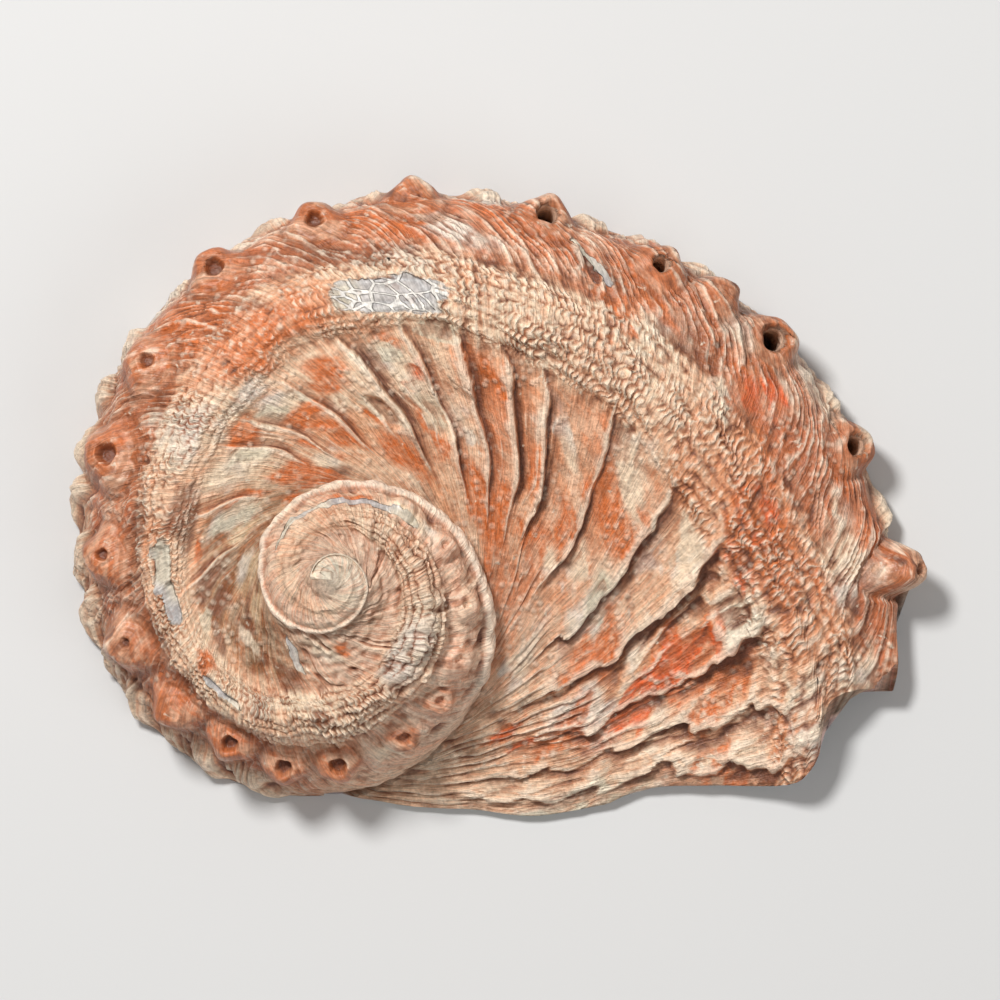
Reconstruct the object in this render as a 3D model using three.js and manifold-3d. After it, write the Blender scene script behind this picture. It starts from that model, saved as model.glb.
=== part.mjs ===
// Staircase abalone shell: an ear-shaped sea shell that lies on its rim, with its sculptured back up.
// Millimetres, +X along the length, +Y across the width, +Z up.
// The origin is below the middle of the shell, on the surface it rests on.
//
// The shell is one skin wound round a spiral, and every place on it has two growth coordinates:
//   growth  the angle, in degrees, at which the shell's edge stood when that place was built
//   across  0 at the seam against the whorl inside it, 1 at the margin
// The inner edge of each whorl is the outer edge of the whorl before it, three quarters of a turn back.
import * as THREE from 'three';
import { mergeVertices } from 'three/addons/utils/BufferGeometryUtils.js';
import Module from 'manifold-3d';

// The middle of the shell, from the spiral's pole
const MIDDLE = [15.4, 8.61];

// The spiral in plan, from the photo at 80 mm overall length
const SPIRAL_RADIUS = 12.96;         // margin radius at angle 0
const SPIRAL_PER_TURN = 3.886;       // growth of the radius in one turn
const SEAM_LAG = 90;                 // how far the seam end of a growth line runs ahead of its margin end
const SEAM_TURN = 360 - SEAM_LAG;    // growth between a place on the seam and the same place on the margin
const APEX_SHIFT = [-0.9, 0.9];      // the first whorls wind round a centre beside the spiral's own
const FORM = [[-90, 1], [0, 1.04], [30, 1.07], [70, 1.07], [100, 1.045], [130, 1], [160, 0.96],
  [200, 0.935], [225, 0.965], [250, 0.992], [300, 1.005], [335, 1.052], [360, 1.03]];
const LAG = [[0, 90], [0.03, 80], [0.075, 70], [0.135, 60], [0.24, 50], [0.35, 40],
  [0.52, 30], [0.78, 20], [0.95, 10], [1, 0]];

// The sculpture's spiral lines: where each runs across, and its share of the whorl's width in plan
const RIB = 0.5;
const HOLE_ROW = 0.8;
const RIB_SHARE = [[-90, 0.46], [45, 0.45], [75, 0.48], [100, 0.53], [170, 0.53], [210, 0.56],
  [235, 0.64], [258, 0.645], [300, 0.61], [330, 0.66], [345, 0.74], [360, 0.785]];
const HOLE_SHARE = [[-90, 0.8], [60, 0.79], [100, 0.8], [150, 0.83], [175, 0.87], [195, 0.91],
  [230, 0.965], [360, 0.975]];
const LIP_GROWTH = [[0, 360], [0.2, 360], [0.24, 358], [0.3, 359.4], [0.4, 361], [0.465, 361.8],
  [0.5, 360.3], [0.52, 355.4], [0.54, 354], [0.57, 354.2], [0.61, 355.2], [0.66, 357.2], [0.71, 359.6],
  [0.755, 361.8], [0.785, 362], [0.82, 360], [0.9, 358], [1, 357]];
const LIP_ZONE = 30;                 // growth before the lip in which its outline is blended in

// Heights above the rim, along the seam and along the lines across
const SEAM_HEIGHT = [[-540, 20.2], [-450, 19.8], [-360, 19.1], [-270, 17.9], [-180, 16.5],
  [-135, 15.4], [-90, 14.2], [-45, 12.6], [0, 10.4], [30, 7.9], [60, 4.6], [80, 1.9], [90, 0.9],
  [99, 0], [400, 0]];
const APEX_HEIGHT = 20.5;
const LINES = [
  { across: 0.25, height: [[-270, 19.5], [-180, 19], [-90, 18.1], [0, 16.6], [45, 15.4], [90, 13.8],
    [135, 13.9], [180, 14.8], [225, 15], [270, 13.8], [300, 10.9], [330, 6.2], [345, 3.7], [360, 1.2]] },
  { across: 0.42, height: [[-270, 19.7], [-180, 19.3], [-90, 18.6], [0, 17], [45, 15.3], [90, 13.3],
    [135, 13.9], [180, 15.7], [225, 17.3], [270, 17.2], [300, 14.2], [330, 9.2], [345, 6.1], [360, 2.8]] },
  { across: RIB, height: [[-270, 19.8], [-180, 19.5], [-90, 18.8], [0, 17.2], [45, 15.6], [90, 13.6],
    [135, 14.2], [180, 16.2], [225, 18.4], [270, 18.4], [300, 15.6], [330, 10.8], [345, 7.8], [360, 4.6]] },
  { across: 0.58, height: [[-270, 19.4], [-180, 18.8], [-90, 17.9], [0, 16.2], [45, 14.4], [90, 12.5],
    [135, 13.1], [180, 14.9], [225, 16.8], [270, 16.9], [300, 14.3], [330, 9.8], [345, 6.9], [360, 3.8]] },
  { across: 0.69, height: [[-270, 19.1], [-180, 18.2], [-90, 16.8], [0, 14.6], [45, 11.8], [90, 8.9],
    [135, 9.5], [180, 11.3], [225, 13.3], [270, 13.5], [300, 11.6], [330, 8], [345, 5.6], [360, 2.6]] },
  { across: HOLE_ROW, height: [[-270, 18.9], [-180, 17.8], [-90, 16.2], [0, 13.6], [45, 9.8], [90, 6.8],
    [135, 7.2], [180, 8.8], [225, 10.4], [270, 10.4], [300, 9.2], [330, 6.8], [345, 5.4], [360, 4]] },
  { across: 0.9, height: [[-270, 18.4], [-180, 17], [-90, 15.1], [0, 12], [45, 7.6], [90, 3.8],
    [135, 4], [180, 4.8], [225, 5.6], [270, 5.8], [300, 5.2], [330, 3.9], [345, 3.2], [360, 2.4]] },
];

// Folds and overlapping plates of the field: each climbs towards its edge and then steps down
const PLATES = [
  { growth: 145, rise: 0.4, from: 0.1, to: 0.44 }, { growth: 170, rise: 0.4, from: 0.1, to: 0.44 },
  { growth: 195, rise: 0.6, from: 0.08, to: 0.44 }, { growth: 205, rise: 0.5, from: 0.1, to: 0.44 },
  { growth: 220, rise: 0.8, from: 0.06, to: 0.44 }, { growth: 240, rise: 1.0, from: 0.05, to: 0.44 },
  { growth: 255, rise: 1.2, from: 0.04, to: 0.44 }, { growth: 265, rise: 1.3, from: 0.03, to: 0.44 },
  { growth: 275, rise: 1.1, from: 0.04, to: 0.44 }, { growth: 285, rise: 1.2, from: 0.06, to: 0.44 },
  { growth: 300, rise: 0.9, from: 0.1, to: 0.46 }, { growth: 315, rise: 0.9, from: 0.06, to: 0.5 },
  { growth: 330, rise: 1.2, from: 0.03, to: 0.5 }, { growth: 340, rise: 1.2, from: 0.03, to: 0.5 },
  { growth: 350, rise: 1.3, from: 0.02, to: 0.5 },
];
const PLATE_FADE = 0.12;             // distance across over which a plate's edge dies out

// Hole row: the growth and place across of each tubercle, its radius and height,
// and the bore of an open hole or the pit that is left of a closed one
const TUBERCLES = [
  { growth: -68, across: 0.8, radius: 1.1, height: 0.9 },
  { growth: -40, across: 0.8, radius: 1.2, height: 1.0 },
  { growth: -12, across: 0.79, radius: 1.3, height: 1.1 },
  { growth: 10, across: 0.77, radius: 1.4, height: 1.2 },
  { growth: 28, across: 0.78, radius: 1.4, height: 1.2 },
  { growth: 47, across: 0.79, radius: 1.5, height: 1.3 },
  { growth: 71, across: 0.79, radius: 1.9, height: 1.8, pit: 0.8 },
  { growth: 88.5, across: 0.8, radius: 1.9, height: 1.8, pit: 0.8 },
  { growth: 105, across: 0.76, radius: 2.0, height: 1.9, pit: 0.8 },
  { growth: 125.5, across: 0.79, radius: 2.2, height: 2.2 },
  { growth: 147.5, across: 0.79, radius: 2.4, height: 2.5, pit: 0.7 },
  { growth: 170.5, across: 0.77, radius: 2.3, height: 2.5, pit: 0.7 },
  { growth: 194.5, across: 0.76, radius: 2.6, height: 2.3, pit: 1.1 },
  { growth: 214.5, across: 0.72, radius: 2.3, height: 1.8, pit: 0.7 },
  { growth: 239, across: 0.77, radius: 2.3, height: 1.8, pit: 0.9 },
  { growth: 256, across: 0.76, radius: 2.2, height: 1.8, pit: 0.8 },
  { growth: 275.3, across: 0.83, radius: 2.3, height: 2.2 },
  { growth: 293, across: 0.81, radius: 2.3, height: 1.9, bore: 1.1 },
  { growth: 305, across: 0.76, radius: 2.2, height: 1.9, bore: 0.9 },
  { growth: 315.5, across: 0.79, radius: 1.9, height: 2.1 },
  { growth: 324, across: 0.8, radius: 2.4, height: 1.6, bore: 1.3 },
  { growth: 341, across: 0.85, radius: 2.2, height: 2.4, bore: 1.1, lean: 0.45 },
  { growth: 354.6, across: 0.84, radius: 2.0, height: 4.2, lean: 1.2 },
];
const TUBERCLE_SIDES = 8;
const SMALL_TUBERCLE_SIDES = 6;
const SMALL_TUBERCLE = 1.6;          // radius below which the fewer sides are enough
const TUBERCLE_ROOT = 0.45;          // depth that its foot reaches into the wall
const TUBERCLE_LEAN = 0.3;           // how much of a tubercle's axis points outward, the rest up

// The keel below the hole row and its nodules
const KEEL_ACROSS = 0.92;
const KEEL_WIDTH = 0.06;
const KEEL_REACH = [[90, 0.3], [120, 0.7], [200, 0.9], [240, 0.4], [360, 0.4]];
const KEEL_NODULES_PER_TURN = 24;

// The inside: wall, rim, and the sloping shelf along the margin under the hole row
const WALL = 1.8;
const LIP_WALL = 0.9;
const STEEPEST = 0.35;               // measured straight down, the wall thickens with the slope up to here
const RIM_WIDTH = 1.3;
const SHELF_WIDTH = [[90, 1], [105, 3], [130, 4.2], [170, 5], [260, 5.5], [320, 4.5], [350, 2.5], [360, 1.5]];
const SHELF_SLOPE = 0.4;
const SHELF_BACK_SLOPE = 2.6;
const CEILING_BLEND = 0.8;           // how softly the ceiling turns into the shelf

// Mesh steps
const GROWTH_START = -270;
const GROWTH_END = 360;
const OUTER_STEP = 5;
const INNER_STEP = 10;
const OUTER_ROWS = [0, 0.03, 0.08, 0.15, 0.22, 0.29, 0.35, 0.4, 0.44, 0.475, 0.5, 0.525, 0.56, 0.61,
  0.68, 0.75, 0.8, 0.85, 0.92, 1];
const INNER_ROWS = [0, 0.1, 0.22, 0.34, 0.42, 0.5, 0.58, 0.67, 0.76, 0.86, 1];

const clamp01 = (x) => Math.min(1, Math.max(0, x));
const smooth = (a, b, x) => {
  const t = clamp01((x - a) / (b - a));
  return t * t * (3 - 2 * t);
};

// A smooth curve through hand-set points, with no overshoot between them
function slopesOf(points) {
  const last = points.length - 1;
  const step = (i) => points[i + 1][0] - points[i][0];
  const rise = (i) => (points[i + 1][1] - points[i][1]) / step(i);
  return points.map((point, i) => {
    if (i === 0) return rise(0);
    if (i === last) return rise(last - 1);
    const before = rise(i - 1);
    const after = rise(i);
    if (before * after <= 0) return 0;
    const weightBefore = 2 * step(i) + step(i - 1);
    const weightAfter = step(i) + 2 * step(i - 1);
    return (weightBefore + weightAfter) / (weightBefore / before + weightAfter / after);
  });
}

function curve(points) {
  const slopes = slopesOf(points);
  const last = points.length - 1;
  return (x) => {
    if (x <= points[0][0]) return points[0][1];
    if (x >= points[last][0]) return points[last][1];
    let i = 0;
    while (x > points[i + 1][0]) i += 1;
    const step = points[i + 1][0] - points[i][0];
    const t = (x - points[i][0]) / step;
    const u = 1 - t;
    return (1 + 2 * t) * u * u * points[i][1] + t * u * u * step * slopes[i]
      + t * t * (3 - 2 * t) * points[i + 1][1] + t * t * (t - 1) * step * slopes[i + 1];
  };
}

const form = curve(FORM);
const lag = curve(LAG);
const ribShare = curve(RIB_SHARE);
const holeShare = curve(HOLE_SHARE);
const lipGrowth = curve(LIP_GROWTH);
const seamHeight = curve(SEAM_HEIGHT);
const shelfWidth = curve(SHELF_WIDTH);
const keelReach = curve(KEEL_REACH);
const lineHeights = LINES.map((line) => curve(line.height));

const marginRadius = (angle) => SPIRAL_RADIUS * SPIRAL_PER_TURN ** (angle / 360) * form(angle);

const shareOf = (growth, across) =>
  curve([[0, 0], [RIB, ribShare(growth)], [HOLE_ROW, holeShare(growth)], [1, 1]])(across);

// The place in plan of growth coordinates, and the whorl's width there
function plan(growth, across) {
  const share = shareOf(growth, across);
  const angle = growth + lag(share);
  const inner = marginRadius(angle - 360);
  const width = marginRadius(angle) - inner;
  const radius = inner + share * width;
  const turn = THREE.MathUtils.degToRad(angle);
  const shift = 1 - smooth(-270, 0, growth - SEAM_TURN * (1 - share));
  return {
    x: radius * Math.cos(turn) + APEX_SHIFT[0] * shift,
    y: -radius * Math.sin(turn) + APEX_SHIFT[1] * shift,
    share, width,
  };
}

function smoothHeight(growth, across) {
  const stops = [[0, seamHeight(growth - SEAM_TURN)]];
  LINES.forEach((line, i) => stops.push([line.across, lineHeights[i](growth)]));
  stops.push([1, seamHeight(growth)]);
  return curve(stops)(across);
}

// Height that the folds and plates add: a slow climb to each edge, nothing beyond it
function plateHeight(growth, across) {
  const next = PLATES.findIndex((plate) => plate.growth >= growth);
  if (next < 0) return 0;
  const plate = PLATES[next];
  const start = next > 0 ? PLATES[next - 1].growth : plate.growth - 20;
  const climb = clamp01((growth - start) / (plate.growth - start));
  const reach = smooth(plate.from, plate.from + PLATE_FADE, across)
    * (1 - smooth(plate.to - PLATE_FADE, plate.to, across));
  return plate.rise * climb * climb * reach;
}

// Near the lip the growth lines bend towards the lip's own outline
function stationGrowth(growth, across) {
  const zone = clamp01((growth - (GROWTH_END - LIP_ZONE)) / LIP_ZONE);
  return growth + zone * (lipGrowth(across) - GROWTH_END);
}

function outerPoint(station, across) {
  const growth = stationGrowth(station, across);
  const place = plan(growth, across);
  const margin = growth > SEAM_LAG ? smooth(SEAM_LAG, SEAM_LAG + 30, growth) : 0;
  const bulge = Math.max(0, 1 - Math.abs(across - KEEL_ACROSS) / KEEL_WIDTH);
  const nodule = 0.5 + 0.5 * Math.cos(THREE.MathUtils.degToRad(growth) * KEEL_NODULES_PER_TURN);
  const reach = 1 + margin * bulge * keelReach(growth) * nodule / Math.hypot(place.x, place.y);
  const height = smoothHeight(growth, across) + plateHeight(station, across);
  return new THREE.Vector3(place.x * reach, place.y * reach, height);
}

// Cosine of the back's slope across the whorl: 1 where it is level
function levelness(growth, across) {
  const low = Math.max(0, across - 0.04);
  const high = Math.min(1, across + 0.04);
  const [a, b] = [plan(growth, low), plan(growth, high)];
  const run = Math.hypot(b.x - a.x, b.y - a.y);
  const rise = smoothHeight(growth, high) - smoothHeight(growth, low);
  return run / Math.hypot(run, rise);
}

// The inner face: a ceiling one wall below the back, and the shelf that rises inward from the rim
function innerPoint(station, across) {
  const growth = stationGrowth(station, across);
  const onRim = smooth(SEAM_LAG, SEAM_LAG + 20, growth) * smooth(0.6, 1, across);
  const place = plan(growth, across);
  const radius = Math.hypot(place.x, place.y);
  const inset = 1 - onRim * RIM_WIDTH / radius;
  const wall = THREE.MathUtils.lerp(WALL / Math.max(STEEPEST, levelness(growth, across)), LIP_WALL,
    smooth(GROWTH_END - 25, GROWTH_END, station));
  const ceiling = Math.max(0, smoothHeight(growth, across) - wall);
  if (growth <= SEAM_LAG) return new THREE.Vector3(place.x, place.y, ceiling);
  const fromRim = (1 - place.share) * place.width;
  const width = shelfWidth(growth);
  const shelf = SHELF_SLOPE * Math.min(fromRim, width) + SHELF_BACK_SLOPE * Math.max(0, fromRim - width);
  const gap = ceiling - shelf;
  const lower = (ceiling + shelf - Math.sqrt(gap * gap + CEILING_BLEND * CEILING_BLEND)) / 2;
  return new THREE.Vector3(place.x * inset, place.y * inset, Math.max(0, lower));
}

// One skin as a grid of growth by across, wound so that each whorl shares its seam with the one inside
function skin(pointAt, rows, step, facesUp) {
  const columns = Math.round((GROWTH_END - GROWTH_START) / step) + 1;
  const overlap = Math.round(SEAM_TURN / step);
  const last = rows.length - 1;
  const points = [];
  const index = [];
  for (let i = 0; i < columns; i += 1) {
    index.push([]);
    for (let j = 0; j <= last; j += 1) {
      if (j === 0 && i >= overlap) {
        index[i].push(index[i - overlap][last]);
      } else {
        index[i].push(points.length);
        points.push(pointAt(GROWTH_START + i * step, rows[j]));
      }
    }
  }
  const faces = [];
  const face = (a, b, c) => {
    if (a !== b && b !== c && a !== c) faces.push(facesUp ? [a, b, c] : [a, c, b]);
  };
  for (let i = 0; i + 1 < columns; i += 1) {
    for (let j = 0; j < last; j += 1) {
      const [a, b, c, d] = [index[i][j], index[i + 1][j], index[i + 1][j + 1], index[i][j + 1]];
      face(a, c, d);
      face(a, b, c);
    }
  }
  return { points, faces, face, index, columns, overlap, last };
}

// The small opening left at the first whorl, closed by a fan to the apex
function closeApex(grid, apex) {
  const ring = [];
  for (let j = grid.last; j > 0; j -= 1) ring.push(grid.index[0][j]);
  for (let i = 0; i <= grid.overlap; i += 1) ring.push(grid.index[i][0]);
  const middle = grid.points.length;
  grid.points.push(apex);
  for (let k = 0; k + 1 < ring.length; k += 1) grid.face(middle, ring[k + 1], ring[k]);
}

// The free edge, from the seam's end along the lip to the margin and back along the rim
function freeEdge(grid) {
  const edge = [];
  const end = grid.columns - 1;
  for (let j = 0; j <= grid.last; j += 1) edge.push(grid.index[end][j]);
  for (let i = end - 1; i > end - grid.overlap; i -= 1) edge.push(grid.index[i][grid.last]);
  return edge;
}

// Joins two edges that run side by side, by always taking the shorter next step
function stitch(points, outer, inner, faces) {
  const total = (ring) => ring.reduce((sum, p, k) =>
    sum + points[p].distanceTo(points[ring[(k + 1) % ring.length]]), 0);
  const lengths = [total(outer), total(inner)];
  let [a, b, doneA, doneB] = [0, 0, 0, 0];
  while (a < outer.length || b < inner.length) {
    const [p, q] = [outer[a % outer.length], inner[b % inner.length]];
    const nextP = outer[(a + 1) % outer.length];
    const nextQ = inner[(b + 1) % inner.length];
    const stepA = points[p].distanceTo(points[nextP]) / lengths[0];
    const stepB = points[q].distanceTo(points[nextQ]) / lengths[1];
    if (b >= inner.length || (a < outer.length && doneA + stepA <= doneB + stepB)) {
      faces.push([p, q, nextP]);
      doneA += stepA;
      a += 1;
    } else {
      faces.push([p, q, nextQ]);
      doneB += stepB;
      b += 1;
    }
  }
}

function shellBody() {
  const outer = skin(outerPoint, OUTER_ROWS, OUTER_STEP, true);
  closeApex(outer, new THREE.Vector3(...APEX_SHIFT, APEX_HEIGHT));
  const inner = skin(innerPoint, INNER_ROWS, INNER_STEP, false);
  closeApex(inner, new THREE.Vector3(...APEX_SHIFT, APEX_HEIGHT - WALL));
  const offset = outer.points.length;
  const points = [...outer.points, ...inner.points];
  const faces = [...outer.faces, ...inner.faces.map((f) => f.map((p) => p + offset))];
  stitch(points, freeEdge(outer), freeEdge(inner).map((p) => p + offset), faces);
  return solidOf(points, faces);
}

const wasm = await Module();
wasm.setup();

function solidOf(points, faces) {
  return new wasm.Manifold(new wasm.Mesh({
    numProp: 3,
    vertProperties: new Float32Array(points.flatMap((p) => [p.x, p.y, p.z])),
    triVerts: new Uint32Array(faces.flat()),
  }));
}

function solidOfGeometry(geometry) {
  geometry.deleteAttribute('normal');
  geometry.deleteAttribute('uv');
  const merged = mergeVertices(geometry, 1e-5);
  return new wasm.Manifold(new wasm.Mesh({
    numProp: 3,
    vertProperties: new Float32Array(merged.attributes.position.array),
    triVerts: new Uint32Array(merged.index.array),
  }));
}

// Turns a shape made round +Y so that +Y follows a tubercle's axis, and sets it on the shell's back
function placedOn(geometry, tubercle) {
  const base = outerPoint(tubercle.growth, tubercle.across);
  const lean = tubercle.lean ?? TUBERCLE_LEAN;
  const outward = new THREE.Vector3(base.x, base.y, 0).normalize().multiplyScalar(lean);
  const axis = outward.add(new THREE.Vector3(0, 0, 1)).normalize();
  const turn = new THREE.Quaternion().setFromUnitVectors(new THREE.Vector3(0, 1, 0), axis);
  geometry.applyQuaternion(turn);
  geometry.translate(base.x, base.y, base.z);
  return solidOfGeometry(geometry);
}

function tubercleBody(tubercle) {
  const { radius, height } = tubercle;
  const profile = [[0, -TUBERCLE_ROOT], [radius * 1.1, -TUBERCLE_ROOT], [radius * 1.12, height * 0.15],
    [radius * 0.95, height * 0.6], [radius * 0.6, height * 0.97], [0, height * 1.05]];
  const sides = radius < SMALL_TUBERCLE ? SMALL_TUBERCLE_SIDES : TUBERCLE_SIDES;
  const shape = new THREE.LatheGeometry(profile.map(([r, y]) => new THREE.Vector2(r, y)), sides);
  return placedOn(shape, tubercle);
}

const BORE_DEPTH = 13;
function boreBody(tubercle) {
  const { bore, height } = tubercle;
  const shape = new THREE.CylinderGeometry(bore, bore * 0.85, BORE_DEPTH, TUBERCLE_SIDES);
  shape.translate(0, height + 1 - BORE_DEPTH / 2, 0);
  return placedOn(shape, tubercle);
}

function pitBody(tubercle) {
  const { pit, height } = tubercle;
  const depth = pit * 1.1;
  const shape = new THREE.CylinderGeometry(pit * 1.25, pit * 0.5, depth * 2, TUBERCLE_SIDES);
  shape.translate(0, height * 1.1, 0);
  return placedOn(shape, tubercle);
}

function shellSolid() {
  let solid = shellBody();
  for (const tubercle of TUBERCLES) solid = solid.add(tubercleBody(tubercle));
  for (const tubercle of TUBERCLES) {
    if (tubercle.bore) solid = solid.subtract(boreBody(tubercle));
    if (tubercle.pit) solid = solid.subtract(pitBody(tubercle));
  }
  return solid;
}

function geometryOf(solid) {
  const mesh = solid.getMesh();
  const geometry = new THREE.BufferGeometry();
  const corners = new Float32Array(mesh.triVerts.length * 3);
  mesh.triVerts.forEach((vertex, k) => {
    for (let axis = 0; axis < 3; axis += 1) {
      corners[k * 3 + axis] = mesh.vertProperties[vertex * mesh.numProp + axis];
    }
  });
  geometry.setAttribute('position', new THREE.BufferAttribute(corners, 3));
  geometry.translate(-MIDDLE[0], -MIDDLE[1], 0);
  geometry.computeVertexNormals();
  return geometry;
}

const shell = new THREE.Mesh(
  geometryOf(shellSolid()),
  new THREE.MeshStandardMaterial({ color: 0xbe9177, roughness: 0.5, metalness: 0 }),
);
shell.name = 'shell';

const object = new THREE.Group();
object.add(shell);
export default object;
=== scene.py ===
"""Staircase abalone shell, lying on its rim with its sculptured back up.

The skin is wound round the same spiral as the solid in the frame, in the same growth coordinates:
    growth  the angle, in degrees, at which the shell's edge stood when a place was built
    across  0 at the seam against the whorl inside it, 1 at the margin
Lengths in the first half are millimetres, from the spiral's pole; the mesh is in metres, in the frame.
"""

import bpy
import numpy as np
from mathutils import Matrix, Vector


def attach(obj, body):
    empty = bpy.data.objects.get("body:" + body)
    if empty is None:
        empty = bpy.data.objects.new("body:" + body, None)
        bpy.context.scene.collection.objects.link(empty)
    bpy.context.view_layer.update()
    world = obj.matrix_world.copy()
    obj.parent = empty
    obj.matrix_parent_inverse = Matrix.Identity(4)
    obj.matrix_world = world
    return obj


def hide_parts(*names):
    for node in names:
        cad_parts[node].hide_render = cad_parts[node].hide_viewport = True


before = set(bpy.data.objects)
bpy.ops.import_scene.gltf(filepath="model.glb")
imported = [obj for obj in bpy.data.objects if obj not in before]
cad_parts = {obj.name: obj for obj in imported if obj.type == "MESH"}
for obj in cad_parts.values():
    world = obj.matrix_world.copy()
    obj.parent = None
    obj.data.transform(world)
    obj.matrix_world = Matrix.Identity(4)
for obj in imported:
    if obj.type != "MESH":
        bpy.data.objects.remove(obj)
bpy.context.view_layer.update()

MM = 0.001
MIDDLE = (15.40, 8.61)  # the middle of the shell, from the spiral's pole

# The spiral in plan
SPIRAL_RADIUS = 12.96
SPIRAL_PER_TURN = 3.886
SEAM_LAG = 90.0
SEAM_TURN = 360.0 - SEAM_LAG
APEX_SHIFT = (-0.9, 0.9)
APEX_HEIGHT = 20.5
FORM = [(-90, 1), (0, 1.04), (30, 1.07), (70, 1.07), (100, 1.045), (130, 1), (160, 0.96),
        (200, 0.935), (225, 0.965), (250, 0.992), (300, 1.005), (335, 1.052), (360, 1.03)]
LAG = [(0, 90), (0.03, 80), (0.075, 70), (0.135, 60), (0.24, 50), (0.35, 40),
       (0.52, 30), (0.78, 20), (0.95, 10), (1, 0)]

# The sculpture's spiral lines: where each runs across, and its share of the whorl's width in plan
RIB = 0.5
HOLE_ROW = 0.8
RIB_SHARE = [(-90, 0.46), (45, 0.45), (75, 0.48), (100, 0.53), (170, 0.53), (210, 0.56),
             (235, 0.64), (258, 0.645), (300, 0.61), (330, 0.66), (345, 0.74), (360, 0.785)]
RIB_LOW = [(-200, 0.30), (0, 0.32), (60, 0.36), (110, 0.375), (180, 0.37), (230, 0.40), (360, 0.41)]
RIB_HIGH = [(-200, 0.66), (20, 0.67), (70, 0.68), (120, 0.64), (200, 0.625), (360, 0.615)]
HOLE_SHARE = [(-90, 0.8), (60, 0.79), (100, 0.8), (150, 0.83), (175, 0.87), (195, 0.91),
              (230, 0.965), (360, 0.975)]
LIP_GROWTH = [(0, 360), (0.2, 360), (0.24, 358), (0.3, 359.4), (0.4, 361), (0.465, 361.8),
              (0.5, 360.3), (0.52, 355.4), (0.54, 354), (0.57, 354.2), (0.61, 355.2), (0.66, 357.2),
              (0.71, 359.6), (0.755, 361.8), (0.785, 362), (0.82, 360), (0.9, 358), (1, 357)]
LIP_ZONE = 30.0

# Heights above the rim: along the seam by growth, and along lines across at shared stations of growth
SEAM_HEIGHT = [(-540, 20.2), (-450, 19.8), (-360, 19.1), (-270, 17.9), (-180, 16.5), (-135, 15.4),
               (-90, 14.2), (-45, 12.6), (0, 10.4), (30, 7.9), (60, 4.6), (80, 1.9), (90, 0.9),
               (99, 0), (400, 0)]
STATIONS = (-540, -270, -180, -90, 0, 45, 90, 135, 180, 225, 270, 300, 330, 345, 360)
LINES = [
    (0.25, (20.3, 19.5, 19, 18.1, 16.6, 15.4, 13.8, 13.9, 14.8, 15.0, 13.8, 10.9, 6.2, 3.7, 1.2)),
    (0.42, (20.3, 19.7, 19.3, 18.6, 17.0, 15.3, 13.3, 13.9, 15.7, 17.3, 17.2, 14.2, 9.2, 6.1, 2.8)),
    (RIB, (20.4, 19.8, 19.5, 18.8, 17.2, 15.6, 13.6, 14.2, 16.2, 18.4, 18.4, 15.6, 10.8, 7.8, 4.6)),
    (0.58, (20.3, 19.4, 18.8, 17.9, 16.2, 14.4, 12.5, 13.1, 14.9, 16.8, 16.9, 14.3, 9.8, 6.9, 3.8)),
    (0.69, (20.3, 19.1, 18.2, 16.8, 14.6, 11.8, 8.9, 9.5, 11.3, 13.3, 13.5, 11.6, 8.0, 5.6, 2.6)),
    (HOLE_ROW, (20.3, 18.9, 17.8, 16.2, 13.6, 9.8, 6.8, 7.2, 8.8, 10.4, 10.4, 9.2, 6.8, 5.4, 4)),
    (0.9, (20.2, 18.4, 17, 15.1, 12, 7.6, 3.8, 4, 4.8, 5.6, 5.8, 5.2, 3.9, 3.2, 2.4)),
]

# Folds and overlapping plates of the field: growth of the edge, rise, and reach across
PLATES = [
    (145, 0.4, 0.1, 0.44), (170, 0.4, 0.1, 0.44), (195, 0.6, 0.08, 0.44), (205, 0.5, 0.1, 0.44),
    (220, 0.8, 0.06, 0.44), (240, 1.0, 0.05, 0.44), (254, 1.1, 0.04, 0.44), (265, 1.2, 0.03, 0.44),
    (275, 1.1, 0.04, 0.44), (283, 1.2, 0.06, 0.44), (298, 0.9, 0.1, 0.46), (315, 0.9, 0.06, 0.5),
    (328, 1.2, 0.03, 0.5), (341, 1.2, 0.03, 0.5), (349, 1.0, 0.02, 0.5), (356, 0.9, 0.02, 0.5),
]
PLATE_FADE = 0.12
PLATE_STEP = 0.8

# Bores of the open tubes: length, sides, share of the crater's width, and the painted shade on their walls
BORE_DEPTH = 13.0
BORE_SIDES = 20
BORE_SHARE = 0.8
BORE_SHADE = 0.35

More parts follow.
